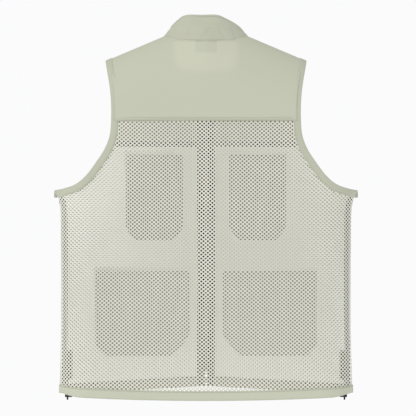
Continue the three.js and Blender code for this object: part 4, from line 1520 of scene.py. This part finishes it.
@dataclass
class Pocket:
    """Patch pocket behind a flap: lining, bellows wall, front, flap, snap and stitching.

    Attributes:
        label: The name that its nodes share.
        side: The wearer's side.
        near: Inner edge from the centre line.
        far: Outer edge.
        top: Height of the mouth.
        foot: Height of the lower edge.
        cut_near: Height of the inner lower corner's cut.
        cut_far: Height of the outer lower corner's cut.
        depth: Depth of the bellows wall.
        patch: Finish of the patch that backs it, dark as painted shade.
        back: Y of the net behind it.
        flap_rise: How far the flap's seam lies above the mouth.
        flap_drop: Height of the flap.
        flap_over: How far the flap laps the pocket's sides.
        lining_thick: Thickness of the lining.
        gap: Room between two plies.
        front_half: Half thickness of the front.
        snap_stud: How far the snap's stud stands out from the front.
        flap_half: Half thickness of the flap.
    """

    label: str
    side: Side
    near: float
    far: float
    top: float
    foot: float
    cut_near: float
    cut_far: float
    depth: float
    patch: Finish
    back: float = -53.45
    flap_rise: float = 7.0
    flap_drop: float = 48.0
    flap_over: float = 3.0
    lining_thick: float = 1.5
    gap: float = 0.3
    front_half: float = 0.7
    snap_stud: float = 1.2
    flap_half: float = 0.9

    @property
    def face(self) -> float:
        """Y of the front's middle."""
        return self.back - self.lining_thick - self.depth - self.gap - self.front_half

    @property
    def flap_face(self) -> float:
        """Y of the flap's middle."""
        return self.face - self.front_half - self.gap - self.snap_stud - self.gap - self.flap_half

    def span(self, z: float, inset: float = 0.0) -> tuple[float, float]:
        """Inner and outer X of the outline at a height.

        Args:
            z: Height.
            inset: Distance inside the outline.

        Returns:
            The two X, both positive.
        """
        up = z - self.foot - inset

        def corner(cut: float) -> float:
            """Set-in of a cut corner, with its two bends eased."""
            if up >= cut * 1.25:
                return 0.0
            k = 1 - up / (cut * 1.25)
            return cut * k ** 1.35

        return self.near + inset + corner(self.cut_near), self.far - inset - corner(self.cut_far)

    def panel(self, u: float, v: float, inset: float = 0.0) -> tuple[float, float]:
        """X and Z of a point of the flat outline.

        Args:
            u: Across, 0 to 1.
            v: Down, 0 to 1.
            inset: Distance inside the outline.

        Returns:
            X with its side's sign, and Z.
        """
        z = self.top + (self.foot + inset - self.top) * v
        low, high = self.span(z, inset)
        return self.side.value * (low + (high - low) * u), z

    def rim(self, s: float) -> tuple[float, float]:
        """Point of the U-shaped edge.

        Args:
            s: From 0 at the inner mouth corner to 1 at the outer one.

        Returns:
            X, positive, and Z.
        """
        path = self._rim
        reach = self._reach
        where = s * reach[-1]
        return float(np.interp(where, reach, path[:, 0])), float(np.interp(where, reach, path[:, 1]))

    def __post_init__(self) -> None:
        """Samples the edge once."""
        down = [(self.span(z)[0], z) for z in np.linspace(self.top, self.foot, 60)]
        up = [(self.span(z)[1], z) for z in np.linspace(self.foot, self.top, 60)]
        self._rim = np.array(down + up)
        self._reach = np.concatenate([[0], np.cumsum(np.linalg.norm(np.diff(self._rim, axis=0), axis=1))])

    def build(self) -> None:
        """Builds the pocket."""
        self.lining()
        self.backing()
        self.gusset()
        self.front()
        self.flap()
        self.snap()
        self.stitching()
        LOG.info("%s built", self.label)

    def lining(self) -> None:
        """Builds the lining that lies on the net."""
        def at(u: float, v: float) -> Point:
            """Point of the lining."""
            x, z = self.panel(u, v)
            soft = math.sin(math.pi * u) * math.sin(math.pi * v)
            return np.array([x, self.back - 0.6 - 0.5 * soft * (1 + wrinkle(x, z, 17.0, self.near)), z])

        cloth = Cloth(f"{self.label}_inner_cloth", at, 30, 40, 0.8)
        # Lining darkened as painted shade of the pocket's inside.
        cloth.sew(SHADE_LINING, f"{self.label}_lining")

    def backing(self) -> None:
        """Builds the patch that backs the lining inside the net, a sheet of painted shade."""
        def at(u: float, v: float) -> Point:
            """Point of the patch."""
            x, z = self.panel(u, v, 1.5)
            soft = (math.sin(math.pi * u) * math.sin(math.pi * v)) ** 0.5
            return np.array([x, self.back + 2.6 + soft * wrinkle(x, z, 23.0, self.near), z])

        cloth = Cloth(f"{self.label}_backing", at, 30, 40, 0.5)
        # Patch darkened as painted shade of the pocket's inside.
        cloth.sew(self.patch)

    def gusset(self) -> None:
        """Builds the bellows wall, folded in at the middle."""
        def at(u: float, v: float) -> Point:
            """Point of the wall."""
            x, z = self.rim(u)
            ahead, behind = self.rim(min(1.0, u + 0.004)), self.rim(max(0.0, u - 0.004))
            run = np.array([ahead[0] - behind[0], ahead[1] - behind[1]])
            run /= np.linalg.norm(run)
            fold = 0.7 + 2.6 * math.sin(math.pi * v) ** 0.8
            x, z = x - run[1] * fold, z + run[0] * fold
            y = self.back - 1.2 - v * (self.depth + 0.9)
            return np.array([self.side.value * x, y, z])

        cloth = Cloth(f"{self.label}_bellows", at, 110, 8, 0.8)
        cloth.sew(SAGE, f"{self.label}_gusset")

    def front_point(self, u: float, v: float, inset: float = 0.0, out: float = 0.0) -> Point:
        """Point of the front, which fills a little below the flap.

        Args:
            u: Across, 0 to 1.
            v: Down, 0 to 1.
            inset: Distance inside the outline.
            out: Shift outwards.

        Returns:
            The point, millimetres.
        """
        x, z = self.panel(u, v, inset)
        clear = self.top + self.flap_rise - self.flap_drop - 4
        below = min(1.0, max(0.0, (clear - z) / 40.0))
        below = below * below * (3 - 2 * below)
        rise = 4.5 * below * max(0.0, math.sin(math.pi * u)) ** 0.6 * min(1.0, (z - self.foot) / 22.0) ** 0.7
        crease = 0.5 * wrinkle(x, z, 13.0, self.near * 0.1 + self.side.value) * below
        return np.array([x, self.face - rise - crease - out, z])

    def front(self) -> None:
        """Builds the front panel."""
        cloth = Cloth(f"{self.label}_patch", lambda u, v: self.front_point(u, v), 40, 44, 1.0)
        cloth.sew(SAGE, f"{self.label}_front")

    def flap_point(self, u: float, v: float, out: float = 0.0) -> Point:
        """Point of the flap, over the wall and down in front of it.

        Args:
            u: Across, 0 to 1.
            v: From its hinge to its free edge, 0 to 1.
            out: Shift outwards from the cloth's middle.

        Returns:
            The point, millimetres.
        """
        over = self.top + self.flap_rise - 0.9
        bend = 9.0
        reach = self.back - self.flap_face - bend
        drop = self.flap_drop - 0.9 - bend
        arc = math.pi / 2 * bend
        s = v * (reach + arc + drop)
        if s < reach:
            y, z, ny, nz = self.back - s, over - 0.05 * s, 0.0, 1.0
        elif s < reach + arc:
            a = (s - reach) / bend
            y = self.back - reach - bend * math.sin(a)
            z = over - 0.05 * reach - bend * (1 - math.cos(a))
            ny, nz = -math.sin(a), math.cos(a)
        else:
            y, z = self.flap_face, over - 0.05 * reach - bend - (s - reach - arc)
            ny, nz = -1.0, 0.0
            y -= 0.5 * math.sin(u * 9.0 + self.near) * ((s - reach - arc) / drop) ** 2
        low, high = self.near - self.flap_over, self.far + self.flap_over
        left = reach + arc + drop - s
        cut = 9.0
        inset = cut - math.sqrt(max(0.0, cut * cut - (cut - left) ** 2)) if left < cut else 0.0
        x = low + inset + (high - low - 2 * inset) * u
        z = max(z, self.top + self.flap_rise - self.flap_drop)
        return np.array([self.side.value * x, y + ny * out, z + nz * out])

    def flap(self) -> None:
        """Builds the flap, two plies as one folded edge."""
        cloth = Cloth(f"{self.label}_cover", lambda u, v: self.flap_point(u, v), 44, 44, 1.5)
        cloth.sew(SAGE, f"{self.label}_flap", f"{self.label}_flap_body")

    def snap(self) -> None:
        """Builds the snap's cap on the flap and finishes its stud."""
        lo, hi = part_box(f"{self.label}_snap_cap")
        centre = [(a + b) / 2 / MM for a, b in zip(lo, hi)]
        clear_selection()
        bpy.ops.mesh.primitive_cylinder_add(
            vertices=40, radius=6.5 * MM, depth=1.6 * MM, location=[c * MM for c in centre],
            rotation=(math.pi / 2, 0, 0),
        )
        cap = bpy.context.active_object
        bpy.ops.object.transform_apply(location=True, rotation=True, scale=True)
        bpy.ops.object.mode_set(mode="EDIT")
        bpy.ops.mesh.select_mode(type="FACE")
        bpy.ops.mesh.select_all(action="DESELECT")
        bpy.ops.object.mode_set(mode="OBJECT")
        for polygon in cap.data.polygons:
            polygon.select = polygon.normal.y < -0.9
        bpy.ops.object.mode_set(mode="EDIT")
        for thick, shift in ((0.7, 0.0), (0.5, 0.35), (0.9, 0.0), (0.6, -0.35), (1.4, -0.2)):
            bpy.ops.mesh.inset(thickness=thick * MM)
            bpy.ops.transform.translate(value=(0, shift * MM, 0))
        bpy.ops.object.mode_set(mode="OBJECT")
        cap.name = f"{self.label}_cap"
        cap.data.shade_smooth()
        bpy.ops.object.shade_smooth_by_angle(angle=math.radians(35))
        dress(cap, PAINTED, f"{self.label}_snap_cap", f"{self.label}_flap_body")
        carry(f"{self.label}_snap_stud", PAINTED)

    def stitching(self) -> None:
        """Sews the rows on the front and the flap."""
        rows = Stitches()
        for inset in (2.0, 7.0):
            line = [self.front_point(0.0, v, inset, 0.75) for v in np.linspace(0.02, 1, 60)]
            line += [self.front_point(u, 1.0, inset, 0.75) for u in np.linspace(0, 1, 30)]
            line += [self.front_point(1.0, v, inset, 0.75) for v in np.linspace(1, 0.02, 60)]
            rows.run(line)
        rows.build(f"{self.label}_patch_stitches", THREAD)
        rows = Stitches()
        for inset in (0.035, 0.1):
            line = [self.flap_point(inset * 0.6, v, 1.0) for v in np.linspace(0.1, 1 - inset, 50)]
            line += [self.flap_point(u, 1 - inset, 1.0) for u in np.linspace(inset * 0.6, 1 - inset * 0.6, 50)]
            line += [self.flap_point(1 - inset * 0.6, v, 1.0) for v in np.linspace(1 - inset, 0.1, 50)]
            rows.run(line)
        rows.build(f"{self.label}_cover_stitches", THREAD, body=f"{self.label}_flap_body")


@dataclass
class SideAdjusters:
    """Webbing tabs, elastic cords and cord locks at the lower corners.

    Attributes:
        near: X of a tab's inner edge.
        width: Width of the webbing.
        top: Height of a tab's upper edge.
        foot: Height of its lower edge.
        strand: X of the cord.
        radius: Radius of the cord.
    """

    near: float = 250.0
    width: float = 14.0
    top: float = -586.0
    foot: float = -640.0
    strand: float = 258.0
    radius: float = 1.6

    def build(self) -> None:
        """Builds both sides."""
        for side in Side:
            self.tab(side)
            self.cord(side)
            carry(f"cord_lock_{side.word}", PLASTIC)
            carry(f"cord_lock_plunger_{side.word}", PLASTIC)
        LOG.info("side adjusters built")

    def tab(self, side: Side) -> None:
        """Builds a folded webbing tab.

        Args:
            side: The wearer's side.
        """
        def at(u: float, v: float) -> Point:
            """Point of the tab."""
            p = on_body(self.near + u * self.width, self.top + v * (self.foot - self.top), Face.FRONT, -2.4)
            p[0] = side.value * p[0]
            return p

        cloth = Cloth(f"tab_webbing_{side.word}", at, 10, 24, 1.5)
        cloth.sew(WEBBING, f"webbing_tab_{side.word}")

    def cord(self, side: Side) -> None:
        """Builds the elastic cord from the tab through its lock and back.

        Args:
            side: The wearer's side.
        """
        x = side.value * self.strand
        down = [(-27.4, -641.9), (-20.0, -648.6), (-12.6, -654.4), (-10.4, -661.0), (-10.4, -672.0)]
        back = [(-5.6, -672.0), (-5.6, -661.0), (-7.6, -654.4), (-15.2, -648.6), (-22.6, -641.9)]
        curve = Curve(tuple((x, y, z) for y, z in down + [(-8.0, -675.9)] + back))
        path = [curve.at(i / 60) for i in range(61)]
        piece = tube(f"cord_elastic_{side.word}", path, self.radius, 12)
        dress(piece, ELASTIC, f"hem_cord_{side.word}")


@dataclass
class HangerLoop:
    """Hanging loop inside the collar.

    Attributes:
        half: Half of the distance between its ends.
        radius: Radius of the rolled cloth.
    """

    half: float = 30.0
    radius: float = 1.2

    def build(self) -> None:
        """Builds the loop."""
        curve = Curve(((self.half, 29.6, -3.8), (self.half * 0.86, 26.1, -11.8), (0, 22.6, -19.8),
                       (-self.half * 0.86, 26.1, -11.8), (-self.half, 29.6, -3.8)))
        path = [curve.at(i / 40) for i in range(41)]
        piece = tube("loop_hanger", path, self.radius, 10)
        dress(piece, BINDING, "hanger_loop")
        LOG.info("hanger loop built")


@dataclass
class Topstitching:
    """Rows of thread on the vest's seams.

    Attributes:
        yokes: The yokes whose feet are sewn.
        collar: The collar with its two rows.
        bindings: The armhole bindings.
        bands: The hem bands.
        closure: The zip whose tapes are sewn on.
    """

    yokes: Yokes = field(default_factory=Yokes)
    collar: StandCollar = field(default_factory=StandCollar)
    bindings: Bindings = field(default_factory=Bindings)
    bands: HemBands = field(default_factory=HemBands)
    closure: ZipClosure = field(default_factory=ZipClosure)

    def build(self) -> None:
        """Sews every row."""
        rows = Stitches()
        foot = self.yokes.back_foot
        for up in (2.5, 8.0):
            z = foot + up
            half = arm_at(z)[0] - 8
            rows.run([on_body(x, z, Face.BACK, 2.5) for x in np.linspace(-half, half, 90)])
        for sign in (1, -1):
            for up in (2.5, 8.0):
                z = self.yokes.front_foot + up
                rows.run([on_body(sign * x, z, Face.FRONT, 2.5) for x in np.linspace(16, arm_at(z)[0] - 8, 50)])
            for across in (5.5, 20.5):
                heights = np.linspace(self.closure.top - 2, self.closure.foot + 2.7, 160)
                rows.run([np.array([sign * across, self.closure.face - 0.8, z]) for z in heights])
            inset = self.bindings.width - 2.0
            ring = [self.bindings.loop(u, inset) * np.array([sign, 1, 1]) for u in np.linspace(0, 1, 260)]
            rows.run([p + np.array([0, math.copysign(1.75, p[1]), 0]) for p in ring if abs(p[1]) > 8])
        reach = half_width(-FORM.length) - FORM.side_round + SIDE_ARC - 3
        for s0, s1, face in ((-reach, reach, Face.BACK), (17, reach, Face.FRONT), (-reach, -17, Face.FRONT)):
            line = [self.bands.point(s, 0.12, face) for s in np.linspace(s0, s1, 200)]
            rows.run([p * np.array([1.003, 1.025, 1]) for p in line])
        rows.build("seam_stitches", THREAD)
        # The collar's rows in darker thread: painted shade of the shadow line at its seam.
        rows = Stitches(pitch=2.9, length=2.7, radius=0.45)
        for v, spread, proud in ((0.935, 0.36, 1.85), (0.07, 0.42, 1.75)):
            line = []
            for a in np.linspace(-spread, spread, 120):
                p = self.collar.point(a, v)
                radial = p * np.array([1, 1, 0]) / np.linalg.norm(p[:2])
                line.append(p + radial * (proud + self.collar.crease(a, v)))
            rows.run(line)
        rows.build("collar_stitches", SHADE_SEAM_THREAD)
        LOG.info("topstitching sewn")


@dataclass
class Studio:
    """Camera, lights and floor.

    Attributes:
        span: Width of the view at the vest, millimetres.
        lens: Focal length, long so that the vest is seen almost square on.
        ambient: Brightness of the light from all round.
        lamp_power: Power of the one soft lamp, watts.
        centre: X and Z that the camera looks at, millimetres.
    """

    span: float = 769.6
    lens: float = 400.0
    ambient: float = 0.75
    lamp_power: float = 37.5
    centre: tuple[float, float] = (-3.7, -320.0)

    def build(self) -> None:
        """Sets the camera, the world's light, one soft lamp and the floor."""
        scene = bpy.context.scene
        data = bpy.data.cameras.new("camera")
        data.lens = self.lens
        data.clip_end = 60.0
        camera = bpy.data.objects.new("camera", data)
        scene.collection.objects.link(camera)
        distance = self.span * MM * self.lens / data.sensor_width
        camera.location = (self.centre[0] * MM, 0.053 + distance, self.centre[1] * MM)
        camera.rotation_euler = (math.pi / 2, 0, math.pi)
        scene.camera = camera
        world = bpy.data.worlds.new("studio")
        scene.world = world
        world.use_nodes = True
        tree = world.node_tree
        tree.nodes.clear()
        path = node(tree, "ShaderNodeLightPath")
        power = node(tree, "ShaderNodeMapRange", {"To Min": self.ambient, "To Max": 1.0},
                     {"Value": path.outputs["Is Camera Ray"]})
        glow = node(tree, "ShaderNodeBackground", {"Color": linear("FBFBFC")},
                    {"Strength": power.outputs["Result"]})
        tree.links.new(glow.outputs["Background"], node(tree, "ShaderNodeOutputWorld").inputs["Surface"])
        lamp = bpy.data.lights.new("soft_lamp", "AREA")
        lamp.shape = "SQUARE"
        lamp.size = 1.6
        lamp.energy = self.lamp_power
        light = bpy.data.objects.new("soft_lamp", lamp)
        scene.collection.objects.link(light)
        light.location = (2.2, 2.8, 1.6)
        light.rotation_euler = (Vector((0, 0, -0.3)) - light.location).to_track_quat("-Z", "Y").to_euler()
        scene.view_settings.view_transform = "Standard"
        self.floor()
        LOG.info("studio set")

    def floor(self) -> None:
        """A plain pale floor as bright as the studio round it."""
        clear_selection()
        bpy.ops.mesh.primitive_plane_add(size=60, location=(0, 0, -0.72))
        plane = bpy.context.active_object
        material = bpy.data.materials.new("pale_floor")
        material.use_nodes = True
        tree = material.node_tree
        tree.nodes.clear()
        glow = node(tree, "ShaderNodeEmission", {"Color": linear("FBFBFC"), "Strength": 1.0})
        output = node(tree, "ShaderNodeOutputMaterial")
        tree.links.new(glow.outputs["Emission"], output.inputs["Surface"])
        plane.data.materials.append(material)
        plane.name = "floor"


def main() -> None:
    """Builds the vest's pieces in order and reports each."""
    logging.basicConfig(level=logging.INFO)
    Studio().build()
    Yokes().build()
    NetPanels().build()
    HemBands().build()
    Bindings().build()
    StandCollar().build()
    HangerLoop().build()
    ZipClosure().build()
    for side in Side:
        # Pocket linings and patches are darkened as painted shade of the pockets' insides.
        Pocket(f"chest_pocket_{side.word}", side, near=42.0, far=151.0, top=-220.0, foot=-382.0,
               cut_near=20.0, cut_far=20.0, depth=18.0, patch=SHADE_LINING).build()
        Pocket(f"lower_pocket_{side.word}", side, near=30.0, far=208.0, top=-438.0, foot=-598.0,
               cut_near=34.0, cut_far=19.0, depth=26.0, patch=SHADE_PATCH).build()
    SideAdjusters().build()
    Topstitching().build()


if __name__ == "__main__":
    main()
